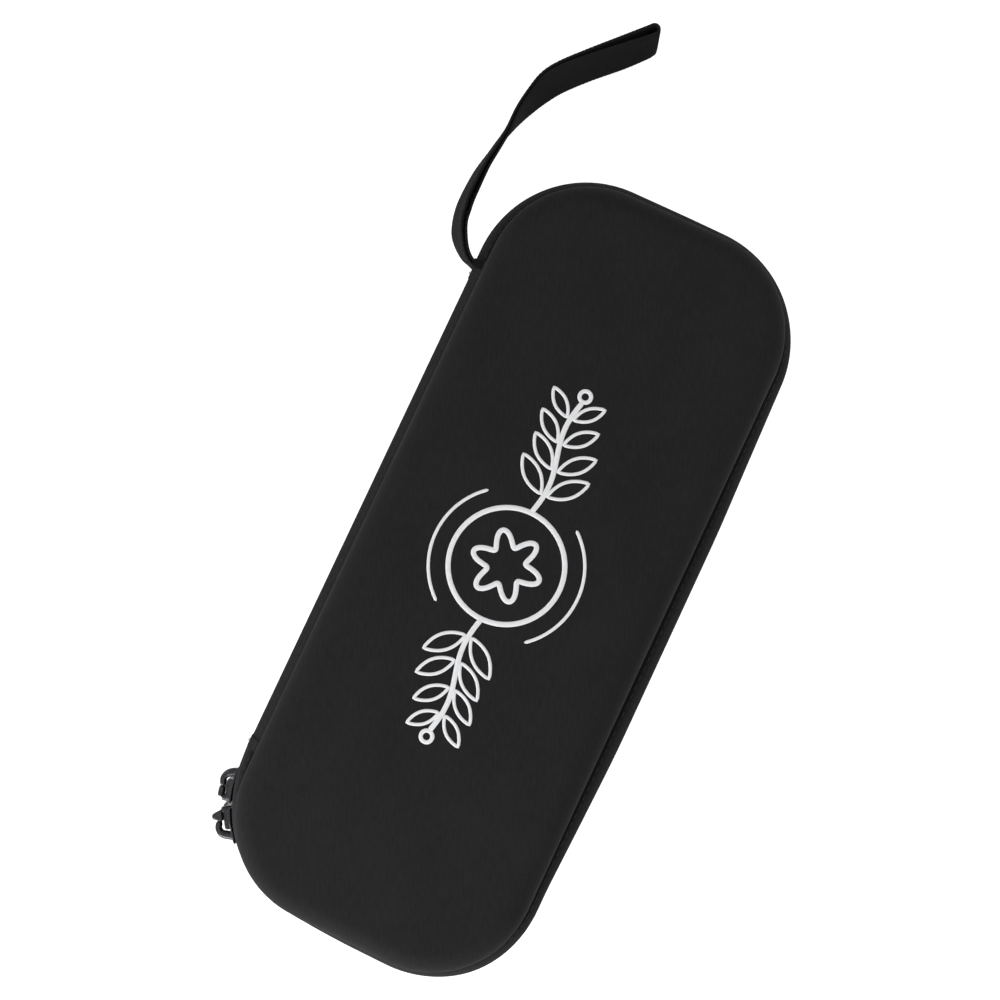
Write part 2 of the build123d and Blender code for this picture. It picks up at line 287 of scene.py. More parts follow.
def stitches(
    starts: Array, ends: Array, outward: Array, radius: float = THREAD_RADIUS, rise: float = STITCH_RISE
) -> Shape:
    """A row of sewn stitches, each a small spindle of thread that bows off the cloth.

    Thread i runs from start to end and stands rise * 4 t (1 - t) off the cloth at share t.

    Args:
        starts: First ends of the stitches, n x 3.
        ends: Their other ends.
        outward: Directions off the cloth.
        radius: Thickest radius of the thread.
        rise: Height of each bow.

    Returns:
        The threads, as one surface of separate closed spindles in its piece's second finish.
    """
    share = np.array([0.0, 0.12, 0.5, 0.88, 1.0])
    thick = radius * np.array([0.0, 0.8, 1.0, 0.8, 0.0])
    bow = rise * 4 * share * (1 - share)
    outward = np.broadcast_to(outward, starts.shape)[:, None]
    middle = starts[:, None] + share[None, :, None] * (ends - starts)[:, None] + bow[None, :, None] * outward
    across, over = (part[:, None] for part in heading(round_angles(5)).T)
    ring = across * outward + over * unit(np.cross((ends - starts)[:, None], outward))
    points = middle[:, :, None] + thick[None, :, None, None] * ring[:, None]
    one = skin(points[0], cloth_uv(share, np.linspace(0, 1, 6)), wrap_columns=True)
    faces = one.faces[None] + np.arange(len(points))[:, None, None] * len(one.points)
    return Shape(points.reshape(-1, 3), faces.reshape(-1, 4), np.tile(one.uvs, (len(points), 1, 1)), 1)


def strip_section(line: Array, thickness: float) -> tuple[Array, Array]:
    """The section of a strip of cloth from its outer line.

    The inner line is the outer one moved by the thickness to its right, and a round nose joins
    them at each end.

    Args:
        line: The outer line's points, in two dimensions.
        thickness: How thick the cloth is.

    Returns:
        The closed section, and the distance round it with one more value at its closing.
    """
    along = directions(line)
    right = np.stack([along[:, 1], -along[:, 0]], axis=1)
    middle = line + right * thickness / 2
    angle = np.linspace(0, np.pi, 7)[1:-1, None]
    first, last = (
        middle[end] + thickness / 2 * sign * (np.sin(angle) * along[end] - np.cos(angle) * right[end])
        for end, sign in ((0, -1), (-1, 1))
    )
    section = np.concatenate([line, last, (line + right * thickness)[::-1], first])
    return section, travelled(section, closed=True)


def make_piece(
    name: str, shapes: Sequence[Shape], finishes: Sequence["Finish"], body: str | None = None,
    crease: float = 38.0, stands_for_node: bool = True,
) -> Piece:
    """Join surfaces into one mesh object at the origin and seat it in the frame.

    Args:
        name: The piece's name, and its CAD node's.
        shapes: Its surfaces, each with the number of its finish.
        finishes: The finishes, in the order the shapes count them.
        body: The body it rides; with none it rides no body.
        crease: Edges sharper than this many degrees stay sharp.
        stands_for_node: It takes the place of the CAD node of its name.

    Returns:
        The new object.
    """
    starts = np.cumsum([0] + [len(shape.points) for shape in shapes[:-1]])
    points = np.concatenate([shape.points for shape in shapes]) * MM
    faces = np.concatenate([shape.faces + start for shape, start in zip(shapes, starts)])
    uvs = np.concatenate([shape.uvs for shape in shapes])
    wearing = np.concatenate([np.full(len(shape.faces), shape.finish) for shape in shapes])
    mesh = bpy.data.meshes.new(name)
    mesh.vertices.add(len(points))
    mesh.vertices.foreach_set("co", points.astype(np.float32).ravel())
    mesh.loops.add(faces.size)
    mesh.loops.foreach_set("vertex_index", faces.astype(np.int32).ravel())
    mesh.polygons.add(len(faces))
    mesh.polygons.foreach_set("loop_start", np.arange(0, faces.size, 4, dtype=np.int32))
    mesh.polygons.foreach_set("material_index", wearing.astype(np.int32))
    mesh.update(calc_edges=True)
    mesh.uv_layers.new(name="Cloth").data.foreach_set("uv", uvs.astype(np.float32).ravel())
    work = bmesh.new()
    work.from_mesh(mesh)
    bmesh.ops.remove_doubles(work, verts=work.verts, dist=2e-7)
    bmesh.ops.dissolve_degenerate(work, edges=work.edges, dist=1e-7)
    work.to_mesh(mesh)
    work.free()
    mesh.validate()
    mesh.polygons.foreach_set("use_smooth", np.ones(len(mesh.polygons), dtype=bool))
    mesh.set_sharp_from_angle(angle=math.radians(crease))
    for finish in finishes:
        mesh.materials.append(finish.material())
    piece = bpy.data.objects.new(name, mesh)
    bpy.context.scene.collection.objects.link(piece)
    if body:
        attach(piece, body)
    if stands_for_node:
        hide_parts(name)
    log.info("%s: %d faces", name, len(mesh.polygons))
    return piece


# --- Finishes ------------------------------------------------------------------------------


class Board:
    """The node board of one material: adds nodes, joins them, and sets the shader's sockets."""

    def __init__(self, name: str) -> None:
        """Start a material with only its shader and output.

        Args:
            name: The material's name.
        """
        self.material = bpy.data.materials.new(name)
        self.material.use_nodes = True
        self.tree = self.material.node_tree
        self.shader = next(node for node in self.tree.nodes if node.type == "BSDF_PRINCIPLED")

    def put(self, socket: Socket, value: object) -> None:
        """Set a socket to a value, or join it to the socket given.

        Args:
            socket: The input.
            value: The value or socket.
        """
        if isinstance(value, bpy.types.NodeSocket):
            self.tree.links.new(value, socket)
        else:
            socket.default_value = value

    def add(
        self, kind: str, inputs: dict[str | int, object] | None = None, **settings: object
    ) -> bpy.types.Node:
        """Add a node.

        Args:
            kind: The node's type, without its "ShaderNode".
            inputs: Values, or sockets to join, by input name or number.
            **settings: Attributes of the node itself.

        Returns:
            The node.
        """
        node = self.tree.nodes.new("ShaderNode" + kind)
        for name, value in settings.items():
            setattr(node, name, value)
        for name, value in (inputs or {}).items():
            self.put(node.inputs[name], value)
        return node

    def wear(self, **sockets: object) -> None:
        """Set or join the shader's sockets, named with underscores for spaces."""
        for name, value in sockets.items():
            self.put(self.shader.inputs[name.replace("_", " ")], value)

    def laid(self, space: Space, size: Sequence[float], turn: float = 0.0) -> Socket:
        """Coordinates for a pattern whose features are `size` millimetres, turned in the plane.

        Args:
            space: Whether it lies on the cloth or in the space round the piece.
            size: Millimetres to one unit of the pattern, along each axis.
            turn: Degrees that the pattern is turned by.

        Returns:
            The socket that carries them.
        """
        scale = [value * (1.0 if space is Space.CLOTH else MM) for value in size]
        source = self.add("TexCoord").outputs[space.value]
        inputs = {"Vector": source, "Rotation": (0, 0, math.radians(turn)), "Scale": scale}
        return self.add("Mapping", inputs, vector_type="TEXTURE").outputs[0]

    def noise(
        self, space: Space, size: Sequence[float], detail: float = 2.0, rough: float = 0.5, turn: float = 0.0
    ) -> Socket:
        """Soft irregular variation from 0 to 1, laid as laid() says."""
        inputs = {"Vector": self.laid(space, size, turn), "Scale": 1.0, "Detail": detail, "Roughness": rough}
        return self.add("TexNoise", inputs).outputs["Fac"]

    def ribs(self, place: Socket, axis: str, waver: float = 0.0) -> Socket:
        """Even ribs, one to each unit along an axis: (1 - cos) / 2."""
        inputs = {"Vector": place, "Scale": math.pi / 10, "Distortion": waver, "Detail": 1.0}
        return self.add("TexWave", inputs, bands_direction=axis, wave_profile="SIN").outputs["Fac"]

    def sums(self, action: str, first: object, second: object) -> Socket:
        """Arithmetic on two values or sockets."""
        return self.add("Math", {0: first, 1: second}, operation=action).outputs[0]

    def mixed(self, first: Socket, second: Socket, share: float) -> Socket:
        """The first value's share and the rest of the second."""
        return self.sums("ADD", self.sums("MULTIPLY", first, share), self.sums("MULTIPLY", second, 1 - share))

    def spread(self, value: Socket, low: float, high: float, start: float = 0.0, end: float = 1.0) -> Socket:
        """Map low..high smoothly to start..end."""
        inputs = {"Value": value, "From Min": low, "From Max": high, "To Min": start, "To Max": end}
        return self.add("MapRange", inputs, interpolation_type="SMOOTHSTEP").outputs["Result"]

    def tint(self, share: Socket, colour: Colour, first: float, second: float) -> Socket:
        """A colour made lighter or darker by a factor that runs from the first to the second."""
        ends = [(*(min(1.0, part * factor) for part in colour), 1.0) for factor in (first, second)]
        return self.add("Mix", {0: share, 6: ends[0], 7: ends[1]}, data_type="RGBA").outputs[2]

    def relief(self, height: Socket, depth: float, before: Socket | None = None) -> Socket:
        """Bump of a height that runs from 0 to 1, `depth` millimetres deep."""
        inputs = {"Height": height, "Strength": 1.0, "Distance": depth * MM}
        if before is not None:
            inputs["Normal"] = before
        return self.add("Bump", inputs).outputs[0]


_made: dict["Finish", bpy.types.Material] = {}


@dataclass(frozen=True)
class Finish:
    """What every finish has; each kind adds its own pattern in dress()."""

    name: str
    colour: Colour
    roughness: float
    specular: float = 0.2
    sheen: float = 0.0

    def material(self) -> bpy.types.Material:
        """The finish's material, made once."""
        if self not in _made:
            board = Board(self.name)
            board.wear(
                Base_Color=(*self.colour, 1.0), Roughness=self.roughness, Specular_IOR_Level=self.specular,
                Sheen_Weight=self.sheen, Sheen_Roughness=0.5,
            )
            self.dress(board)
            _made[self] = board.material
        return _made[self]

    def dress(self, board: Board) -> None:
        """Add the finish's own pattern to its board."""


@dataclass(frozen=True)
class KnitCloth(Finish):
    """Smooth laminated knit: fine wales, faint streaks along them, and broad soft patches."""

    wale: float = 0.55
    course: float = 0.5
    turn: float = 25.0
    streak: float = 0.35
    streak_size: Pair = (0.8, 4.0)
    patch_size: Pair = (22.0, 30.0)
    shades: Pair = (0.82, 1.21)
    loop_depth: float = 0.05
    wave_size: float = 9.0
    wave_depth: float = 0.08
    gloss_change: float = 0.05

    def dress(self, board: Board) -> None:
        """Streaks and patches in the colour, wales and courses in the relief."""
        streaks = board.noise(Space.CLOTH, (*self.streak_size, 1.0), 3.0, 0.6, self.turn)
        patches = board.noise(Space.CLOTH, (*self.patch_size, 1.0))
        share = board.spread(board.mixed(streaks, patches, 0.5), 0.5 - self.streak / 2, 0.5 + self.streak / 2)
        place = board.laid(Space.CLOTH, (self.wale, self.course, 1.0), self.turn)
        loops = board.sums("MULTIPLY", board.ribs(place, "X", 0.6), board.ribs(place, "Y", 0.6))
        waves = board.noise(Space.CLOTH, (self.wave_size, self.wave_size, 1.0), 3.0)
        dull, change = self.roughness, self.gloss_change
        board.wear(
            Base_Color=board.tint(share, self.colour, *self.shades),
            Normal=board.relief(waves, self.wave_depth, board.relief(loops, self.loop_depth)),
            Roughness=board.spread(patches, 0.3, 0.7, dull - change, dull + change),
        )


@dataclass(frozen=True)
class WovenTape(Finish):
    """A woven tape or webbing: ribs across it, crossed by finer yarns along it."""

    rib: float = 0.9
    yarn: float = 0.7
    depth: float = 0.08
    contrast: float = 0.25

    def dress(self, board: Board) -> None:
        """A plain weave's hills, with yarns that vary a little in colour."""
        place = board.laid(Space.CLOTH, (self.rib, self.yarn, 1.0))
        crossed = board.sums("SUBTRACT", board.ribs(place, "X", 0.3), board.ribs(place, "Y", 0.3))
        hills = board.sums("ABSOLUTE", crossed, 0.0)
        share = board.spread(board.mixed(hills, board.noise(Space.CLOTH, (0.5, 9.0, 1.0)), 0.5), 0.2, 0.8)
        board.wear(Base_Color=self.woven(board, share), Normal=board.relief(hills, self.depth))

    def woven(self, board: Board, share: Socket) -> Socket:
        """The weave's colour, from its hollows to its hills."""
        return board.tint(share, self.colour, 1 - self.contrast, 1 + self.contrast)


@dataclass(frozen=True)
class ZipTapeCloth(WovenTape):
    """Zip tape, with painted light that makes it paler over its outer fold and painted shade that darkens it
    where it goes in under the rim.
    """

    fold: float = 4.5
    rim: float = 9.5
    # colour factors for painted light over the outer fold and painted shade in under the rim
    painted_outer_light: float = 2.7
    painted_rim_shade: float = 0.5

    def woven(self, board: Board, share: Socket) -> Socket:
        """The weave's colour, times painted shading across the tape: painted light over the outer fold,
        painted shade under the rim.

        Args:
            board: The material's board.
            share: 0 in the weave's hollows and 1 on its hills.

        Returns:
            The colour.
        """
        across = board.add("SeparateXYZ", {0: board.laid(Space.CLOTH, (1.0, 1.0, 1.0))}).outputs[1]
        # painted light and shade: the colour is lifted over the outer fold and darkened towards the rim,
        # where the shell's shadow falls
        change = board.spread(across, self.fold, self.rim, self.painted_outer_light, self.painted_rim_shade)
        cloth = super().woven(board, share)
        return board.add("VectorMath", {0: cloth, "Scale": change}, operation="SCALE").outputs[0]


@dataclass(frozen=True)
class Nap(Finish):
    """Brushed lining or loop pile: fine fuzz with faint strokes."""

    grain: float = 0.35
    depth: float = 0.12
    stroke_size: Triple = (6.0, 18.0, 12.0)
    shades: Pair = (0.75, 1.3)

    def dress(self, board: Board) -> None:
        """Fine noise for the pile and long noise for how it has been stroked."""
        pile = board.noise(Space.SPACE, (self.grain,) * 3, 3.0, 0.7)
        share = board.spread(board.mixed(pile, board.noise(Space.SPACE, self.stroke_size), 0.4), 0.3, 0.7)
        colour = board.tint(share, self.colour, *self.shades)
        board.wear(Base_Color=colour, Normal=board.relief(pile, self.depth))


@dataclass(frozen=True)
class Monofilament(Finish):
    """Drawn nylon or sewing thread: smooth, with slight changes along it."""

    grain: float = 1.5
    shades: Pair = (0.8, 1.25)
    gloss_change: float = 0.08

    def dress(self, board: Board) -> None:
        """Small changes of colour and gloss."""
        change = board.noise(Space.SPACE, (self.grain,) * 3)
        ends = (self.roughness - self.gloss_change, self.roughness + self.gloss_change)
        rough = board.spread(change, 0.3, 0.7, *ends)
        board.wear(Base_Color=board.tint(change, self.colour, *self.shades), Roughness=rough)


@dataclass(frozen=True)
class CastMetal(Finish):
    """Black-plated cast metal with a slight orange peel and fine handling marks."""

    metallic: float = 0.85
    peel_size: float = 0.9
    peel_depth: float = 0.03

    def dress(self, board: Board) -> None:
        """Broad unevenness in the relief, scuffs in the gloss."""
        scuffs = board.noise(Space.SPACE, (0.25, 0.25, 2.0), 3.0, 0.65)
        board.wear(
            Metallic=self.metallic,
            Base_Color=board.tint(board.spread(scuffs, 0.45, 0.75), self.colour, 1.0, 2.0),
            Roughness=board.spread(scuffs, 0.35, 0.7, self.roughness - 0.06, self.roughness + 0.14),
            Normal=board.relief(board.noise(Space.SPACE, (self.peel_size,) * 3), self.peel_depth),
        )


@dataclass(frozen=True)
class TransferInk(Finish):
    """A pale heat-pressed transfer that has taken on a little of the knit under it."""

    def dress(self, board: Board) -> None:
        """Slight mottling, and the knit's relief much softened."""
        mottle = board.spread(board.noise(Space.SPACE, (1.6, 1.6, 1.6), 3.0, 0.6), 0.3, 0.7)
        knit = board.noise(Space.SPACE, (0.4, 0.5, 0.4), 1.0)
        board.wear(Base_Color=board.tint(mottle, self.colour, 0.93, 1.0), Normal=board.relief(knit, 0.03))


@dataclass(frozen=True)
class FoamBoard(Finish):
    """Moulded closed-cell foam: fine cells and a slightly closed skin."""

    cell: float = 0.5
    cell_depth: float = 0.08
    shades: Pair = (1.2, 0.7)

    def dress(self, board: Board) -> None:
        """Round cells in the relief and the colour."""
        inputs = {"Vector": board.laid(Space.SPACE, (self.cell,) * 3), "Scale": 1.0}
        cells = board.add("TexVoronoi", inputs).outputs["Distance"]
        share = board.spread(cells, 0.1, 0.8)
        colour = board.tint(share, self.colour, *self.shades)
        board.wear(Base_Color=colour, Normal=board.relief(cells, self.cell_depth))


cover_cloth = KnitCloth("cover_cloth", (0.0127, 0.0127, 0.0134), 0.88, specular=0.07, sheen=0.01)
tape_cloth = ZipTapeCloth("zip_tape_cloth", (0.0095, 0.0095, 0.0100), 0.85, specular=0.04, sheen=0.01)
spine_ribbon = WovenTape("spine_ribbon", (0.0185, 0.0185, 0.0195), 0.85, 0.05, 0.01, rib=1.1, yarn=0.8)
strap_webbing = WovenTape("strap_webbing", (0.013, 0.013, 0.0136), 0.85, 0.03, rib=1.5, yarn=1.0, depth=0.14)
bias_tape = WovenTape("bias_tape", (0.012, 0.012, 0.013), 0.75, rib=0.6, yarn=0.6, depth=0.05)
gathered_elastic = WovenTape("gathered_elastic", (0.012, 0.012, 0.013), 0.7, rib=1.0, yarn=1.3, depth=0.15)
lining_nap = Nap("lining_nap", (0.022, 0.022, 0.024), 0.95, specular=0.1, sheen=0.15)
fastener_pile = Nap("fastener_pile", (0.012, 0.012, 0.013), 0.8, grain=0.45, depth=0.3)
coil_nylon = Monofilament("coil_nylon", (0.010, 0.010, 0.011), 0.35, specular=0.45)
net_nylon = Monofilament("net_nylon", (0.016, 0.016, 0.017), 0.5, specular=0.35)
sewing_thread = Monofilament("sewing_thread", (0.013, 0.013, 0.014), 0.6, grain=0.8)
slider_plating = CastMetal("slider_plating", (0.018, 0.018, 0.020), 0.28, specular=0.5, metallic=0.75)
transfer_ink = TransferInk("transfer_ink", (0.72, 0.72, 0.73), 0.65)
foam_board = FoamBoard("foam_board", (0.06, 0.06, 0.065), 0.9)


# --- The lines the case is built on --------------------------------------------------------


@dataclass(frozen=True)
class ZipLine:
    """The rounded rectangle that the zip follows, measured from the middle of the hinge side.

    It starts at (-half_width, 0), heads for -Y, and goes round the front, the right side, the
    rear and back.
    """

    half_width: float = 57.5
    half_length: float = 138.0
    corner_radius: float = 40.0

    @property
    def corner(self) -> Pair:
        """How far the corners' centres lie from the middle, across and along."""
        return self.half_width - self.corner_radius, self.half_length - self.corner_radius

    @property
    def corner_run(self) -> float:
        """Length of one corner's quarter circle."""
        return math.pi / 2 * self.corner_radius

    @property
    def total(self) -> float:
        """Length of the whole line."""
        return 4 * (sum(self.corner) + self.corner_run)

    def at(self, along: Array) -> tuple[Array, Array]:
        """Points on the line and directions in from it.

        A distance t into a run of heading a and bend k moves t sinc(k t / 2) along the heading
        a + k t / 2, which is a straight step where k is nothing.

        Args:
            along: Distances along the line, counted round where they pass its end.

        Returns:
            Points and inward unit directions, each n x 2.
        """
        across, length = self.corner
        quarter = self.corner_run
        sides = (quarter, 2 * across, quarter)
        runs = np.array([length, *sides, 2 * length, *sides, length])
        bends = np.arange(len(runs)) % 2 / self.corner_radius
        starts = np.concatenate([[0.0], np.cumsum(runs)[:-1]])
        headings = -np.pi / 2 + np.concatenate([[0.0], np.cumsum(runs * bends)[:-1]])

        def moved(t: Array, first: Array, bend: Array) -> Array:
            """The step that a run makes in distance t."""
            half_turn = bend * t / 2
            return (t * np.sinc(half_turn / np.pi))[..., None] * heading(first + half_turn)

        steps = np.cumsum(moved(runs, headings, bends), axis=0)[:-1]
        firsts = np.array([-self.half_width, 0.0]) + np.concatenate([np.zeros((1, 2)), steps])
        wrapped = np.mod(along, self.total)
        run = np.clip(np.searchsorted(starts, wrapped, side="right") - 1, 0, len(runs) - 1)
        t = wrapped - starts[run]
        way = heading(headings[run] + bends[run] * t)
        points = firsts[run] + moved(t, headings[run], bends[run])
        return points, np.stack([-way[..., 1], way[..., 0]], axis=-1)

    def place(self, along: Array, inset: Array, height: Array) -> Array:
        """Points off the line: p + inset n across, and the height above the zip line.

        Args:
            along: Distances along the line, n of them.
            inset: Distances in from it, m of them or n x m.
            height: Heights above it, likewise.

        Returns:
            Points, n x m x 3.
        """
        points, inward = self.at(along)
        inset, height = (
            np.broadcast_to(value, (len(along), np.shape(value)[-1])) for value in (inset, height)
        )
        flat = points[:, None] + inset[..., None] * inward[:, None]
        return np.concatenate([flat, (ZIP_HEIGHT + height)[..., None]], axis=-1)

    def swept(self, section: Array, around: Array, along: Array, way: int = 1) -> Shape:
        """Carry a section of (inset, height) along part of the line.

        Args:
            section: The closed section's points.
            around: Distance round it, and once more at its closing.
            along: Places along the line.
            way: -1 turns the section's heights over.

        Returns:
            The closed surface.
        """
        return carried(self.place(along, section[:, 0], way * section[:, 1]), along, around)

    def sewn(
        self, starts: Array, length: float, inset: float, height: float, outward: Array, **thread: float
    ) -> Shape:
        """A row of stitches along the line.

        Args:
            starts: Where the stitches start.
            length: How long each is.
            inset: How far in they lie.
            height: How high they lie.
            outward: Directions off the cloth.
            **thread: Another radius or rise than the usual ones.

        Returns:
            The stitches.
        """
        inset, height = np.atleast_1d(inset), np.atleast_1d(height)
        ends = [self.place(starts + run, inset, height)[:, 0] for run in (0.0, length)]
        return stitches(*ends, outward, **thread)

    def off_slope(self, along: Array, slope: float, way: float) -> Array:
        """Directions off a slope that rises away from the zip line: -slope n across, `way` up."""
        return unit(np.column_stack([-slope * self.at(along)[1], np.full(len(along), float(way))]))


zip_line = ZipLine()


@dataclass(frozen=True)
class ZipLie:
    """How the closed zip lies: drawn in round its corners, and bowed out along the right side.

    Each knot is a distance along the zip line and how far in from it the zip lies there. The
    straight runs between knots are smoothed by averaging over a span on each side.
    """

    slider_depth: float = 1.4
    span: float = 8.0
    knots: tuple[Pair, ...] = (
        (0, 0), (92, 0), (106, 1.4), (150, 1.4), (176, -0.2), (204, -0.2), (226, -0.5), (242, 0.3),
        (260, 1.2), (279, 0.45), (294, -0.1), (316, -0.85), (400, -0.85), (420, -0.25), (436, 0.15),
        (456, 0.65), (476, 1.35), (496, 1.15), (530, 0.3), (570, 0), (714, 0),
    )

    def inset(self, along: Array) -> Array:
        """How far in the zip lies at distances along its line."""
        around = np.linspace(-self.span, self.span, 9)
        return np.mean([np.interp(along + shift, *np.array(self.knots).T) for shift in around], axis=0)


zip_lie = ZipLie()


@dataclass(frozen=True)
class BandForm:
    """The band's outline in section, which the tapes and the spine share."""

    flat_half: float = 4.2
    rim_inset: float = 4.5
    flange_height: float = 7.95
    flange_end: float = 9.2
    cloth: float = 0.7


@dataclass(frozen=True)
class ShellForm:
    """The moulded shape of one half, from its rim round to its closed end."""

    side: Side
    shell_depth: float = 24.0
    rim_height: float = 8.0
    rim_inset: float = 4.5
    draft: float = math.radians(8.5)
    edge_radius: float = 9.0
    least_radius: float = 0.6
    crown_across: float = 2.0
    crown_along: float = 2.0
    wall_steps: int = 7
    edge_steps: int = 13
    end_steps: int = 19

    def end_height(self, place: Array, depth: float) -> Array:
        """Height of the closed end over plan places, `depth` under the outer skin.

        The base's is flat. The lid's is a circle arc across the case, of the radius that gives
        the crown its rise, spun about a far axis of the radius that gives its rise along it.

        Args:
            place: Plan places, ... x 2.
            depth: Distance under the outer skin.

        Returns:
            Heights from the zip line, away from the other half.
        """
        if self.side is Side.BASE:
            return np.full(place.shape[:-1], self.shell_depth - depth)
        across = zip_line.half_width**2 / (2 * self.crown_across)
        along = zip_line.half_length**2 / (2 * self.crown_along)
        arm = along - across + np.sqrt((across - depth) ** 2 - place[..., 0] ** 2)
        return self.shell_depth - along + np.sqrt(arm**2 - place[..., 1] ** 2)

    def wall_inset(self, depth: float, height: Array) -> Array:
        """Inset of the drafted wall, `depth` under the outer skin."""
        return self.rim_inset + depth + (height - self.rim_height) * math.tan(self.draft)

    def surface(self, stations: Array, depth: float) -> tuple[Array, Array]:
        """One moulded surface as a grid: up the wall, round the edge, and in over the end.

        At each station the wall's line meets the end's. An arc of the edge radius joins them,
        tangent to both. From its inner end, straight lines run to the case's middle line and
        take the end's height. The cloth is laid out flat from the end, outwards over the edge.

        Args:
            stations: Distances along the zip line.
            depth: Distance under the outer skin.

        Returns:
            Points, n x m x 3, and cloth places, n x m x 2.
        """
        base, inward = zip_line.at(stations)
        height = np.full(len(stations), self.shell_depth - depth)
        for _ in range(4):
            inset = self.wall_inset(depth, height)
            height = self.end_height(base + inset[:, None] * inward, depth)
        ahead = self.end_height(base + (inset + 1)[:, None] * inward, depth)
        lean, rise = self.draft, np.arctan(ahead - height)
        turn = (np.pi / 2 - lean - rise)[:, None]
        radius = max(self.edge_radius - depth, self.least_radius)
        reach = radius * np.tan(turn[:, 0] / 2)
        start = np.stack([inset - reach * math.sin(lean), height - reach * math.cos(lean)], axis=-1)
        centre = start + radius * np.array([math.cos(lean), -math.sin(lean)])
        angle = lean + np.linspace(0, 1, self.edge_steps)[None] * turn
        edge = centre[:, None] + radius * np.stack([-np.cos(angle), np.sin(angle)], axis=-1)
        rim = np.array([self.wall_inset(depth, self.rim_height), self.rim_height])
        share = np.linspace(0, 1, self.wall_steps)[None, :-1, None]
        profile = np.concatenate([rim + share * (start[:, None] - rim), edge], axis=1)
        outer = base[:, None] + profile[..., :1] * inward[:, None]
        inner_end = outer[:, -1]
        target = inner_end * np.array([0.0, zip_line.corner[1] / zip_line.half_length])
        share = np.linspace(0, 1, self.end_steps)[None, 1:, None]
        cap = inner_end[:, None] + share * (target - inner_end)[:, None]
        slip = (profile[:, -1, 1] - self.end_height(inner_end, depth))[:, None]
        cap_height = self.end_height(cap, depth) + slip * (1 - share[..., 0]) ** 4
        tall = np.concatenate([profile[..., 1], cap_height], axis=1)[..., None]
        plan = np.concatenate([outer, cap], axis=1)
        points = np.concatenate([plan, ZIP_HEIGHT + self.side.value * tall], axis=-1)
        steps = np.linalg.norm(np.diff(profile, axis=1), axis=-1)
        beyond = np.cumsum(steps[:, ::-1], axis=1)[:, ::-1]
        beyond = np.concatenate([beyond, np.zeros((len(stations), 1))], axis=1)
        laid = inner_end[:, None] - beyond[..., None] * inward[:, None]
        return points, np.concatenate([laid, cap], axis=1)


lid_form = ShellForm(Side.LID)
base_form = ShellForm(Side.BASE)


# --- The case's sub-assemblies -------------------------------------------------------------


@dataclass(frozen=True)
class MouldedLayer:
    """One bonded layer of a shell: the cover outside or the lining inside."""

    name: str
    body: str
    form: ShellForm
    outer_depth: float
    inner_depth: float
    finish: Finish
    slot: str
    stations: int = 480

    def build(self) -> None:
        """Make the layer as one closed skin, its outer and inner surfaces joined at the rim."""
        along = np.linspace(0, zip_line.total, self.stations, endpoint=False)
        faces = (self.form.surface(along, depth) for depth in (self.outer_depth, self.inner_depth))
        grid, uv = (np.concatenate([outer[:, ::-1], inner], axis=1) for outer, inner in zip(*faces))
        layer = skin(grid, np.concatenate([uv, uv[:1]]), wrap_rows=True)
        make_piece(self.name, [layer], [self.finish], self.body, crease=60.0)


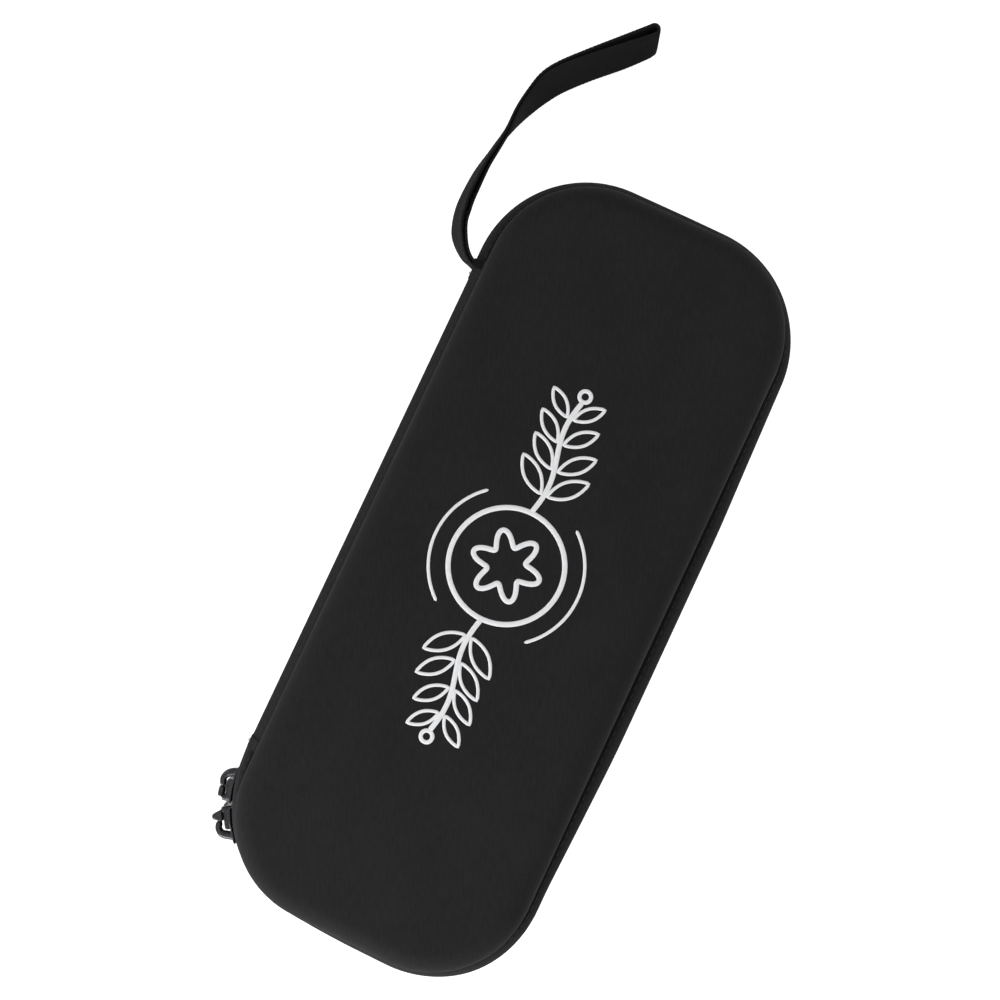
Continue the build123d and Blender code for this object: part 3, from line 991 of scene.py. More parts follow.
@dataclass(frozen=True)
class LidPrint:
    """A pale line drawing pressed on the lid: a ring round a rosette, between two sprigs."""

    middle: Pair = (-2.0, 2.0)
    line_width: float = 1.9
    fine_width: float = 1.2
    film: float = 0.12
    sunk: float = 0.06
    ring_radius: float = 19.0
    arc_radius: float = 25.5
    arc_starts: Pair = (-52, 128)
    arc_sweep: float = 104
    rosette_radius: float = 9.0
    rosette_wave: float = 0.3
    petals: int = 6
    sprig_length: float = 40.0
    sway: float = 1.6
    leaf_length: float = 15.0
    leaf_width: float = 5.6
    leaf_angle: float = 48.0
    leaf_shrink: float = 0.35
    leaf_root: Pair = (1.2, 0.6)
    leaf_span: Pair = (0.16, 0.82)
    leaf_pairs: int = 4
    bud_radius: float = 1.9

    def stroke(self, line: Array, width: float, closed: bool = False) -> Shape:
        """Lay a printed line on the lid.

        Its section is a low hump: flat underneath, and 1 - x^4 of the film's thickness on top.
        The width runs out in a half circle at an open line's ends.

        Args:
            line: Plan points of the line's middle.
            width: Full width.
            closed: The line's last point joins its first.

        Returns:
            The closed surface.
        """
        looped = np.concatenate([line[-1:], line, line[:1]])
        step = np.gradient(looped, axis=0)[1:-1] if closed else np.gradient(line, axis=0)
        side = unit(np.stack([-step[:, 1], step[:, 0]], axis=1))
        half = np.full(len(line), width / 2)
        at = travelled(line)
        if not closed:
            left = np.minimum(at, at[-1] - at) / half
            half = half * np.sqrt(np.clip(1 - (1 - np.clip(left, 0, 1)) ** 2, 1e-6, 1))
        share = np.array([-1.0, -0.85, -0.4, 0.4, 0.85, 1.0])
        top = np.clip(1 - share**4, 0, 1) * (self.film + self.sunk) - self.sunk
        across = np.concatenate([share, share[-2:0:-1]])
        over = np.concatenate([top, np.full(len(share) - 2, -self.sunk)])
        plan = np.array(self.middle) + line[:, None] + (half[:, None] * across)[..., None] * side[:, None]
        tall = ZIP_HEIGHT + lid_form.end_height(plan, 0.0) + over
        grid = np.concatenate([plan, tall[..., None]], axis=-1)
        around = np.linspace(0, 2 * width, len(across) + 1)
        if closed:
            length = np.linspace(0, at[-1], len(line) + 1)
            return skin(grid, cloth_uv(length, around), wrap_rows=True, wrap_columns=True)
        return carried(grid, at, around)

    def arc(self, radius: float, first: float, sweep: float) -> Array:
        """Points on a circle about the drawing's middle, from one angle on by another."""
        count = max(12, int(abs(sweep) * radius / 40))
        return radius * heading(np.radians(np.linspace(first, first + sweep, count)))

    def rosette(self) -> Array:
        """The rosette's outline: r = R (1 + w cos(n a)) at angle a."""
        angle = np.linspace(0, 2 * np.pi, 181)[:-1]
        reach = self.rosette_radius * (1 + self.rosette_wave * np.cos(self.petals * angle))
        return reach[:, None] * heading(angle)

    def stem(self, share: Array) -> Array:
        """A sprig's stem: straight up with a slow sway, s sin(2 pi t) to the side."""
        rise = self.ring_radius + self.sprig_length * share
        return np.stack([self.sway * np.sin(2 * np.pi * share), rise], axis=1)

    def leaf(self, share: float, hand: int) -> Array:
        """One almond leaf from the stem: two bows of w sin(pi t)^0.8 either side of its rib.

        Args:
            share: How far up the stem it grows.
            hand: 1 to the right, -1 to the left.

        Returns:
            Its outline.
        """
        t = np.linspace(0, 1, 26)
        shrink = 1 - self.leaf_shrink * share
        bow = self.leaf_width / 2 * shrink * np.sin(np.pi * t) ** 0.8
        rib = self.leaf_length * shrink * t
        outline = np.concatenate([np.stack([rib, bow], axis=1), np.stack([rib, -bow], axis=1)[-2:0:-1]])
        across, over = heading(np.radians(90 - hand * self.leaf_angle))
        root = self.stem(np.array([share]))[0] + np.array(self.leaf_root) * [hand, 1]
        return root + outline @ np.array([[across, over], [-over, across]])

    def sprig(self, way: int) -> list[Shape]:
        """One sprig: its stem, pairs of leaves and the bud at its tip.

        Args:
            way: 1 grows upwards and -1 downwards.

        Returns:
            Its strokes.
        """
        strokes = [self.stroke(self.stem(np.linspace(0.0, 1.0, 60)) * way, self.line_width)]
        for share in np.linspace(*self.leaf_span, self.leaf_pairs):
            for hand in (-1, 1):
                strokes.append(self.stroke(self.leaf(float(share), hand) * way, self.fine_width, closed=True))
        tip = self.stem(np.array([1.0]))[0] + np.array([0.0, self.bud_radius])
        bud = tip + self.bud_radius * heading(round_angles(24))
        return [*strokes, self.stroke(bud * way, self.line_width * 0.8, closed=True)]

    def build(self) -> None:
        """Make the whole drawing as one piece on the lid."""
        rings = (self.arc(self.ring_radius, 0, 360)[:-1], self.rosette())
        strokes = [self.stroke(ring, self.line_width, closed=True) for ring in rings]
        for first in self.arc_starts:
            strokes.append(self.stroke(self.arc(self.arc_radius, first, self.arc_sweep), self.fine_width))
        strokes += self.sprig(1) + self.sprig(-1)
        make_piece("lid_print", strokes, [transfer_ink], "lid", stands_for_node=False)


@dataclass(frozen=True)
class ZipBand(BandForm):
    """The zip: two woven tapes, their coils and the stitching that holds them to the shells."""

    tape_edge: float = 0.35
    fold: float = 1.3
    coil_inset: float = 1.55
    coil_depth: float = 0.5
    coil_middle: float = 1.1
    coil_swing: float = 1.0
    wire: float = 0.28
    pitch: float = 1.5
    turn_points: int = 12
    grid_step: float = 1.2
    stitch: float = 2.5
    stitch_gap: float = 0.9
    stitch_inset: float = 3.35
    stitch_bow: float = 0.06
    hinge_start: float = 92.1
    rear_start: float = 93.6
    rigid_turn: float = 45.0
    blend_along: float = 26.0
    blend_up: float = 8.0

    def drawn(self, along: Array, inset: Array) -> Array:
        """Insets with the zip's own lie added, which fades out towards the shell's rim."""
        return inset + zip_lie.inset(along) * np.clip(1 - inset / self.rim_inset, 0, 1)

    def tape(self, side: Side, first: float, last: float) -> list[Shape]:
        """One tape: teeth edge, slope, and flange under the rim, with the stitches on its slope.

        Args:
            side: Whose tape.
            first: Where it starts on the zip line.
            last: Where it ends.

        Returns:
            The tape and its row of stitches.
        """
        corners = [
            (0, self.tape_edge), (0, self.flat_half),
            (self.rim_inset, self.flange_height), (self.flange_end, self.flange_height),
        ]
        section, around = strip_section(evenly(eased(corners, self.fold), 34), self.cloth)
        along = np.linspace(first, last, int((last - first) / self.grid_step))
        inset = self.drawn(along[:, None], section[:, 0])
        cloth = carried(zip_line.place(along, inset, side.value * section[:, 1]), along, around)
        step = self.stitch + self.stitch_gap
        starts = np.arange(first + step / 2, last - step / 2, step)
        slope = (self.flange_height - self.flat_half) / self.rim_inset
        height = side.value * (self.flat_half + self.stitch_inset * slope)
        outward = zip_line.off_slope(starts, slope, side.value)
        inset = self.drawn(starts, self.stitch_inset)[:, None]
        return [cloth, zip_line.sewn(starts, self.stitch, inset, height, outward, rise=self.stitch_bow)]

    def coil(self, side: Side, first: float, last: float) -> Shape:
        """One row of the coil.

        The wire goes round a flat loop, inset + d cos a by height + w sin a, and moves on by
        the pitch each turn. The lid's loops are half a turn on, so the two rows mesh.

        Args:
            side: Which row.
            first: Where it starts on the zip line.
            last: Where it ends.

        Returns:
            The wire's surface.
        """
        begin, finish = math.ceil(first / self.pitch), math.floor(last / self.pitch)
        turns = np.linspace(begin, finish, (finish - begin) * self.turn_points + 1)
        across, over = heading(2 * np.pi * turns + (np.pi if side is Side.LID else 0.0)).T
        inset = self.coil_inset + self.coil_depth * across + zip_lie.inset(turns * self.pitch)
        height = side.value * (self.coil_middle + self.coil_swing * over)
        base, inward = zip_line.at(turns * self.pitch)
        line = np.column_stack([base + inset[:, None] * inward, ZIP_HEIGHT + height])
        return tube(line, self.wire, 5, np.column_stack([across[:, None] * inward, side.value * over]))

    def stretch(
        self, side: Side, first: float, last: float, name: str, body: str | None = None
    ) -> list[Piece]:
        """Make one stretch of one half.

        Args:
            side: Whose half.
            first: Where it starts on the zip line.
            last: Where it ends.
            name: How its two pieces' names end.
            body: The body it rides; with none it rides no body.

        Returns:
            Its tape with stitches, and its coil.
        """
        tape, coil = self.tape(side, first, last), self.coil(side, first, last)
        return [
            make_piece(f"zip_tape_{name}", tape, [tape_cloth, sewing_thread], body),
            make_piece(f"zip_coil_{name}", [coil], [coil_nylon], body),
        ]

    def build(self) -> None:
        """Make the base's half, the lid's half, and the lid's two ends, which ride no body."""
        total = zip_line.total
        rigid = zip_line.corner[1] + math.radians(self.rigid_turn) * zip_line.corner_radius
        self.stretch(Side.BASE, self.hinge_start, total - self.rear_start, "base", "base")
        self.stretch(Side.LID, rigid, total - rigid, "lid", "lid")
        for name, first, last, way in (
            ("lid_front", self.hinge_start, rigid, -1),
            ("lid_rear", total - rigid, total - self.rear_start, 1),
        ):
            for piece in self.stretch(Side.LID, first, last, name):
                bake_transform(piece)


@dataclass(frozen=True)
class Spine(BandForm):
    """The cloth hinge: a ribbon round the back, its inner lining, hems and stitching."""

    front: float = -92.0
    rear: float = 90.4
    inset: float = 0.6
    bulge: float = 0.35
    bend: float = 1.2
    lining: float = 0.6
    lining_end: float = 5.9
    gap: float = 0.05
    hem: float = 3.5
    hem_rise: float = 0.3
    flap_end: float = 94.2
    flap_sink: float = 0.12
    stitch: float = 2.5
    stitch_step: float = 3.4
    stitch_edge: float = 1.2
    hem_row: Triple = (-5.6, 5.0, 2.4)
    hem_stitch: float = 1.8
    hem_sunk: float = 0.15
    blend_start: float = 18.0
    blend_end: float = 30.0

    def outline(self, depth: float, flange_end: float) -> Array:
        """The strip's outer line in section, from the lid's rim round the back to the base's.

        The back bows out by the bulge, as 1 - (h / flat)^2.

        Args:
            depth: How far inside the ribbon's outer face it lies.
            flange_end: Where its two flanges end.

        Returns:
            Points, as inset and height.
        """
        heights = np.linspace(self.flat_half, -self.flat_half, 9)
        back = [(self.inset - self.bulge * (1 - (h / self.flat_half) ** 2), h) for h in heights]
        lid_end = [(flange_end, self.flange_height), (self.rim_inset, self.flange_height)]
        corners = lid_end + back + [(inset, -height) for inset, height in reversed(lid_end)]
        line = evenly(eased(corners, self.bend, 5), 60)[::-1]
        along = directions(line)
        return line + depth * np.stack([along[:, 1], -along[:, 0]], axis=1)

    def strip(self, outline: Array, thickness: float, front: float, rear: float) -> Shape:
        """Carry a strip's section straight along the hinge side.

        Args:
            outline: Its outer line in section.
            thickness: Its thickness.
            front: Y of its front end.
            rear: Y of its rear end.

        Returns:
            The closed surface.
        """
        along = np.linspace(-front, -rear, max(4, int((rear - front) / 4)))
        return zip_line.swept(*strip_section(outline, thickness), along)

    def rows(self) -> list[Shape]:
        """Stitches: a row near each rim along the spine, and a row across each hem.

        Returns:
            The four rows.
        """
        starts = np.arange(-self.rear + self.hem, -self.front - self.hem, self.stitch_step)
        slope = (self.flange_height - self.flat_half) / (self.rim_inset - self.inset)
        made = []
        for way in (1, -1):
            height = way * (self.flange_height - self.stitch_edge * slope)
            outward = zip_line.off_slope(starts, slope, way)
            inset = self.rim_inset - self.stitch_edge
            made.append(zip_line.sewn(starts, self.stitch, inset, height, outward))
        levels = np.arange(*self.hem_row) + np.array([[0.0], [self.hem_stitch]])
        past = np.clip(np.abs(levels) - self.flat_half, 0, None) / slope
        surface = self.inset - self.hem_sunk - self.bulge + past
        for at in (-self.front - self.hem / 2, -self.rear + self.hem / 2):
            ends = [zip_line.place(np.array([at]), *end)[0] for end in zip(surface - self.hem_rise, levels)]
            made.append(stitches(*ends, (-1.0, 0.0, 0.0)))
        return made

    def build(self) -> None:
        """Make the ribbon with hems, stitches and flaps over the strap's root, and its lining."""
        outer = self.outline(0.0, self.flange_end)
        shapes = [self.strip(outer, self.cloth, self.front, self.rear), *self.rows()]
        narrow = self.outline(-self.hem_rise, self.rim_inset + 1.0)
        first, last = self.front, self.rear
        for front, rear in ((first - 0.05, first + self.hem), (last - self.hem, last + 0.05)):
            shapes.append(self.strip(narrow, self.hem_rise + 0.2, front, rear))
        flap = [
            (self.flange_end, self.flange_height), (self.rim_inset, self.flange_height),
            (self.inset, self.flat_half),
        ]
        line = evenly(eased(flap, self.bend, 5), 16)[::-1] - [0.0, self.flap_sink]
        for way in (1, -1):
            along = np.linspace(-self.flap_end, -self.rear + 0.5, 4)
            shapes.append(zip_line.swept(*strip_section(line, self.cloth), along, way))
        inner = self.outline(self.cloth + self.gap, self.lining_end)
        backing = self.strip(inner, self.lining, self.front, self.rear)
        for piece in (
            make_piece("spine_strip", shapes, [spine_ribbon, sewing_thread]),
            make_piece("spine_lining", [backing], [bias_tape]),
        ):
            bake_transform(piece)


@dataclass(frozen=True)
class RimBinding:
    """The bias tape over the raw edges in one shell's mouth, with its stitching."""

    side: Side
    lip: float = 6.0
    top: float = 7.2
    turned: float = 9.25
    turned_end: float = 9.7
    end_height: float = 11.0
    thickness: float = 0.8
    fold: float = 1.0
    seam_inset: float = 0.55
    seam_drop: float = 1.1
    stitch: float = 2.3
    stitch_step: float = 3.2
    stations: int = 480

    def build(self) -> None:
        """Carry the folded tape round the whole mouth, and sew it down."""
        body = self.side.name.lower()
        corners = [(self.lip, self.top), (self.turned, self.top), (self.turned_end, self.end_height)]
        section, around = strip_section(evenly(eased(corners, self.fold, 6), 18), self.thickness)
        along = np.linspace(0, zip_line.total, self.stations, endpoint=False)
        grid = zip_line.place(along, section[:, 0], self.side.value * section[:, 1])
        tape = skin(grid, cloth_uv(np.append(along, zip_line.total), around), True, True)
        starts = np.arange(0, zip_line.total - self.stitch_step, self.stitch_step)
        outward = np.column_stack([zip_line.at(starts)[1], np.zeros(len(starts))])
        height = self.side.value * (self.end_height - self.seam_drop)
        row = zip_line.sewn(starts, self.stitch, self.turned_end + self.seam_inset, height, outward)
        make_piece(f"{body}_binding", [tape, row], [bias_tape, sewing_thread], body)


@dataclass(frozen=True)
class ZipSlider:
    """A cast slider on the front left corner, its nose forward (facing 1) or back (-1)."""

    letter: str
    angle: float
    facing: int
    bow: float
    eye_lug: float
    half_length: float = 6.25
    nose_half: float = 4.0
    tail_half: float = 3.3
    waist: Pair = (-2.5, 2.0)
    plate: float = 1.0
    clearance: float = 0.3
    inner_face: float = 2.65
    edge_round: float = 0.25
    overlap: float = 0.3
    web_margin: float = 0.2
    web_half: float = 0.3
    web_length: float = 3.0
    flange: float = 0.8
    flange_depth: float = 1.0
    bridge_out: float = 3.4
    bridge_radius: float = 1.2
    bridge_neck: float = 0.5
    bridge_heel: float = -3.85
    bridge_toe: float = 0.9
    bridge_sunk: float = 0.6
    foot_swell: float = 0.25
    eye_shift: float = 3.6
    eye_inner: float = 0.6
    eye_wall: float = 0.65
    eye_width: float = 3.4
    eye_taper: float = 0.5
    housing_half: float = 1.3
    housing_out: float = 1.8
    housing_start: float = -1.3
    housing_margin: float = 0.8
    neck_width: float = 1.9
    neck_drop: float = 2.6
    shoulder: float = 5.2
    pull_length: float = 22.0
    pull_half: float = 3.0
    pull_thickness: float = 1.2
    hole_radius: float = 1.3
    hole_margin: float = 3.2

    def bent(self, along: Array, height: Array, out: Array) -> Array:
        """Places that follow the corner: along it towards the nose, up, and out from the zip line.

        Args:
            along: Distances towards the nose.
            height: Heights above the zip line.
            out: Distances out from it.

        Returns:
            Points.
        """
        turn = np.radians(self.angle) + self.facing * along / zip_line.corner_radius
        flat = -np.array(zip_line.corner) - (zip_line.corner_radius + out)[..., None] * heading(turn)
        return np.concatenate([flat, (ZIP_HEIGHT + height)[..., None]], axis=-1)

    def straight(self, along: Array, height: Array, out: Array) -> Array:
        """Places in the flat frame that touches the corner at the slider's middle.

        Args:
            along: Distances towards the nose.
            height: Heights above the zip line.
            out: Distances out from it.

        Returns:
            Points.
        """
        cos, sin = math.cos(math.radians(self.angle)), math.sin(math.radians(self.angle))
        reach = zip_line.corner_radius + out
        x = -zip_line.corner[0] - reach * cos + self.facing * along * sin
        y = -zip_line.corner[1] - reach * sin - self.facing * along * cos
        return np.stack([x, y, ZIP_HEIGHT + height], axis=-1)

    def bar(
        self, run: Pair, half: float | Callable[[Array], Array], out: Pair, middle: float = 0.0,
        square: float = 5.0,
    ) -> Shape:
        """A cast bar with rounded edges that follows the corner.

        Its section is |h / w|^n + |o / t|^n = 1. At a share s of its half length, t is drawn in to
        e t, where e = (1 - |s|^9)^(1/4), and w by the edge's rounding times 1 - e.

        Args:
            run: Where it starts and ends along the corner, from the slider's middle.
            half: Half its height, or that at each place along.
            out: How far out its inner and outer faces stand.
            middle: Height of its middle.
            square: n; larger is squarer.

        Returns:
            The closed surface.
        """
        share = -np.cos(np.linspace(0, np.pi, 21))
        along = (run[0] + run[1]) / 2 + share * (run[1] - run[0]) / 2
        end = np.clip(1 - np.abs(share) ** 9, 0, 1) ** (1 / 4)
        h, o = oval(32, (1.0, 1.0), (2 / square, 2 / square))
        tall = half(along) if callable(half) else np.full(len(along), half)
        height = middle + (tall - self.edge_round * (1 - end))[:, None] * h
        outs = (out[0] + out[1]) / 2 + ((out[1] - out[0]) / 2 * end)[:, None] * o
        grid = self.bent(np.broadcast_to(along[:, None], height.shape), height, outs)
        return carried(grid, along, np.linspace(0, 4 * (out[1] - out[0]), 33))

    def plate_half(self, along: Array) -> Array:
        """Half the plate's height: wide at the nose, easing to the narrower tail."""
        share = np.clip((along - self.waist[0]) / (self.waist[1] - self.waist[0]), 0, 1)
        return self.tail_half + (self.nose_half - self.tail_half) * share**2 * (3 - 2 * share)

    def body_shapes(self) -> list[Shape]:
        """The slider's plates, web, side flanges, housing and bridge.

        Returns:
            Their surfaces, which run into each other.
        """
        half, drawn = self.half_length, zip_lie.slider_depth
        outer = (self.clearance - drawn, self.clearance + self.plate - drawn)
        inner = (-self.inner_face - self.plate - drawn, -self.inner_face - drawn)
        shapes = [self.bar((-half, half), self.plate_half, face) for face in (outer, inner)]
        web, margin = (half - self.web_length, half - self.web_margin), self.web_margin
        shapes.append(self.bar(web, self.web_half, (inner[1] - margin, outer[0] + margin)))
        for way in (1, -1):
            middle = way * (self.tail_half - self.flange / 2)
            face = (inner[1] - self.overlap, -self.flange_depth - drawn)
            shapes.append(self.bar((-half, half), self.flange / 2, face, middle, 3.0))
        run = (self.housing_start, half - self.housing_margin)
        face = (outer[1] - self.overlap, self.housing_out + self.bow / 2)
        shapes.append(self.bar(run, self.housing_half, face, square=3.5))
        low, peak = self.bridge_out, self.bridge_out + self.bow
        end, foot = half - self.bridge_toe, outer[1] - self.bridge_sunk
        heel, eye = self.bridge_heel, self.eye_shift
        arch = [
            (heel, foot), (heel + 0.2, foot + 1.4), (heel + 1.2, peak - 1.0), (heel + 2.9, peak),
            (0.6, peak - 0.2), (eye - 1.0, low), (eye + 0.9, low), (end, low - 1.0), (end, foot),
        ]
        along, height, out = smooth_line([(along, 0.0, out) for along, out in arch], 60).T
        near_eye = np.exp(-(((along - eye) / 2.2) ** 6)) * (out > low - 0.8)
        near_foot = np.exp(-(((along - heel) / 1.6) ** 2))
        thin = (self.bridge_radius - self.bridge_neck) * near_eye
        thick = self.bridge_radius * (1 + self.foot_swell * near_foot) - thin
        return [*shapes, tube(self.straight(along, height, out), thick, 14)]

    def tab_outline(self, angle: Array) -> Array:
        """The pull's outline at angles about its hole.

        Args:
            angle: The angles.

        Returns:
            Places across it and below the eye.
        """
        neck, wide, shoulder, tip = self.neck_width / 2, self.pull_half, self.shoulder, self.pull_length
        right = [
            (wide, -tip), (wide - 0.1, -shoulder - 4), (wide - 0.5, -shoulder), (neck, -self.neck_drop),
            (neck, -0.9),
        ]
        left = [(-across, over) for across, over in reversed(right)]
        line = evenly(eased([(0, -tip), *right, *left, (0, -tip)], 2.3, 9), 600)
        centre = np.array([0.0, self.hole_margin - tip])
        away = line - centre
        turn = np.arctan2(away[:, 1], away[:, 0])
        order = np.argsort(turn)
        reach = np.interp(angle, turn[order], np.linalg.norm(away, axis=1)[order], period=2 * np.pi)
        return centre + reach[:, None] * heading(angle)

    def pull_shapes(self) -> list[Shape]:
        """The pull: an eye round the bridge, and a tab with a hole and a sunk panel.

        The tab runs from its hole's edge to its outline on one face and back on the other. Its
        half thickness eases down at both edges and dips where the panel is. The eye's section,
        an oval r out from the bridge, goes round it, and its lug adds l max(cos a, 0)^3 to r.

        Returns:
            The tab and the eye.
        """
        around = np.linspace(-np.pi, np.pi, 96, endpoint=False)
        hole = np.array([0.0, self.hole_margin - self.pull_length]) + self.hole_radius * heading(around)
        share = np.array([0.0, 0.03, 0.1, 0.22, 0.3, 0.5, 0.74, 0.8, 0.93, 0.98, 1.0])
        tall = np.array([0.35, 0.8, 1.0, 1.0, 0.72, 0.72, 0.72, 1.0, 1.0, 0.8, 0.35])
        tall = tall * self.pull_thickness / 2
        ways = np.concatenate([share, share[::-1]])
        outs = np.concatenate([tall, -tall[::-1]]) + self.bridge_out
        flat = hole[:, None] + ways[None, :, None] * (self.tab_outline(around) - hole)[:, None]
        outs = np.broadcast_to(outs, flat.shape[:2])
        grid = self.straight(self.eye_shift + flat[..., 0], flat[..., 1], outs)
        tab = skin(grid, cloth_uv(np.linspace(0, 40, 97), np.linspace(0, 12, 23)), True, True)
        ring = round_angles(28)[:, None]
        lug = np.clip(np.cos(ring), 0, 1) ** 3
        outer, side = oval(16, (1.0, 1.0), (0.8, 0.7))
        outer = (1 + outer) / 2
        reach = self.eye_inner + (self.eye_wall + self.eye_lug * lug) * outer
        half = self.eye_width / 2 * (1 - self.eye_taper * outer * lug * min(1.0, self.eye_lug))
        over, out = reach * np.sin(ring), self.bridge_out + reach * np.cos(ring)
        eye = self.straight(self.eye_shift + half * side, over, out)
        return [tab, skin(eye, cloth_uv(np.linspace(0, 8, 29), np.linspace(0, 4, 17)), True, True)]

    def build(self) -> None:
        """Make the slider and its pull."""
        for kind, shapes, body in (
            ("body", self.body_shapes(), f"slider_{self.letter}"),
            ("pull", self.pull_shapes(), f"pull_{self.letter}"),
        ):
            name = f"slider_{self.letter}_{kind}"
            make_piece(name, shapes, [slider_plating], body, crease=50.0)


@dataclass(frozen=True)
class WristStrap:
    """The doubled webbing loop, with its twist: upright at the seam, leaning back at its fold.

    Each row of the route is x, y, z of the loop's middle, the lean of its top edge to the right
    in degrees, and the distance between its two layers' middles.
    """

    width: float = 15.0
    thickness: float = 1.15
    pinch: float = 0.42
    pinch_run: float = 7.5
    edge_loop: float = 0.16
    loop_spacing: float = 1.5
    squash_keep: float = 0.12
    route: tuple[tuple[float, ...], ...] = (
        (-56.6, 92.0, 24.0, 0.0, 1.2),
        (-59.3, 93.0, 24.0, 0.0, 1.25),
        (-62.8, 95.4, 23.8, 8.0, 1.4),
        (-67.1, 100.7, 22.6, 16.0, 1.7),
        (-69.6, 106.2, 20.6, 20.5, 1.9),
        (-71.6, 114.9, 17.0, 22.5, 2.0),
        (-72.5, 127.7, 12.2, 21.0, 1.6),
        (-71.8, 138.5, 8.8, 17.5, 1.25),
        (-71.0, 144.9, 7.9, 14.0, 1.25),
        (-69.7, 153.4, 7.7, 3.0, 1.3),
        (-67.5, 161.0, 7.7, -6.0, 1.4),
        (-64.9, 167.5, 7.8, -14.0, 1.5),
        (-61.2, 173.0, 8.0, -15.0, 1.7),
        (-53.8, 181.1, 8.0, -13.0, 2.2),
        (-44.4, 190.5, 8.0, -11.0, 3.1),
        (-37.9, 197.5, 7.9, -7.0, 3.6),
        (-36.4, 199.4, 7.8, -5.0, 3.6),
    )

    def build(self) -> None:
        """Make the loop as one ribbon.

        Its middle line goes out on the left of the route, half a circle round the end, and back
        on the right. The section at each place is a flat bar, |w|^8 + |n|^4 = 1, set across the
        leaning width and out from the loop. The webbing is pinched where it enters the seam, to
        1 - p exp(-(s / run)^2) of its width at a distance s along the route, and its weft turns
        back at the edges in small loops, w (1 + e |sin(pi s / spacing)|).
        """
        route = smooth_line(self.route, 620)
        places, apart = route[:, :3], route[:, 4:5] / 2
        along = directions(places)
        lean = np.radians(route[:, 3])[:, None]
        right = unit(np.cross(along, [0.0, 0.0, 1.0]))
        width = np.cos(lean) * np.cross(right, along) + np.sin(lean) * right
        normal = np.cross(width, along)
        turn = np.linspace(0, np.pi, 15)[1:-1, None]
        fold_normal = np.cos(turn) * normal[-1] + np.sin(turn) * along[-1]
        out, back = places + apart * normal, (places - apart * normal)[::-1]
        middle = np.concatenate([out, places[-1] + apart[-1] * fold_normal, back])
        outward = np.concatenate([normal, fold_normal, -normal[::-1]])
        at = travelled(places)
        loops = 1 + 2 * self.edge_loop / self.width * np.abs(np.sin(np.pi * at / self.loop_spacing))
        wide = (loops - self.pinch * np.exp(-((at / self.pinch_run) ** 2)))[:, None] * width
        across = np.concatenate([wide, np.broadcast_to(wide[-1], fold_normal.shape), wide[::-1]])
        flat, thick = oval(24, (self.width / 2, self.thickness / 2), (1 / 4, 1 / 2))
        grid = middle[:, None] + flat[:, None] * across[:, None] + thick[:, None] * outward[:, None]
        ribbon = carried(grid, travelled(middle), travelled(np.column_stack([flat, thick]), closed=True))
        piece = make_piece("wrist_strap", [ribbon], [strap_webbing], "strap", crease=70.0)
        length = float(travelled(middle)[-1])
        log.info("wrist_strap: %.0f mm of webbing in the loop", length)
        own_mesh(piece)


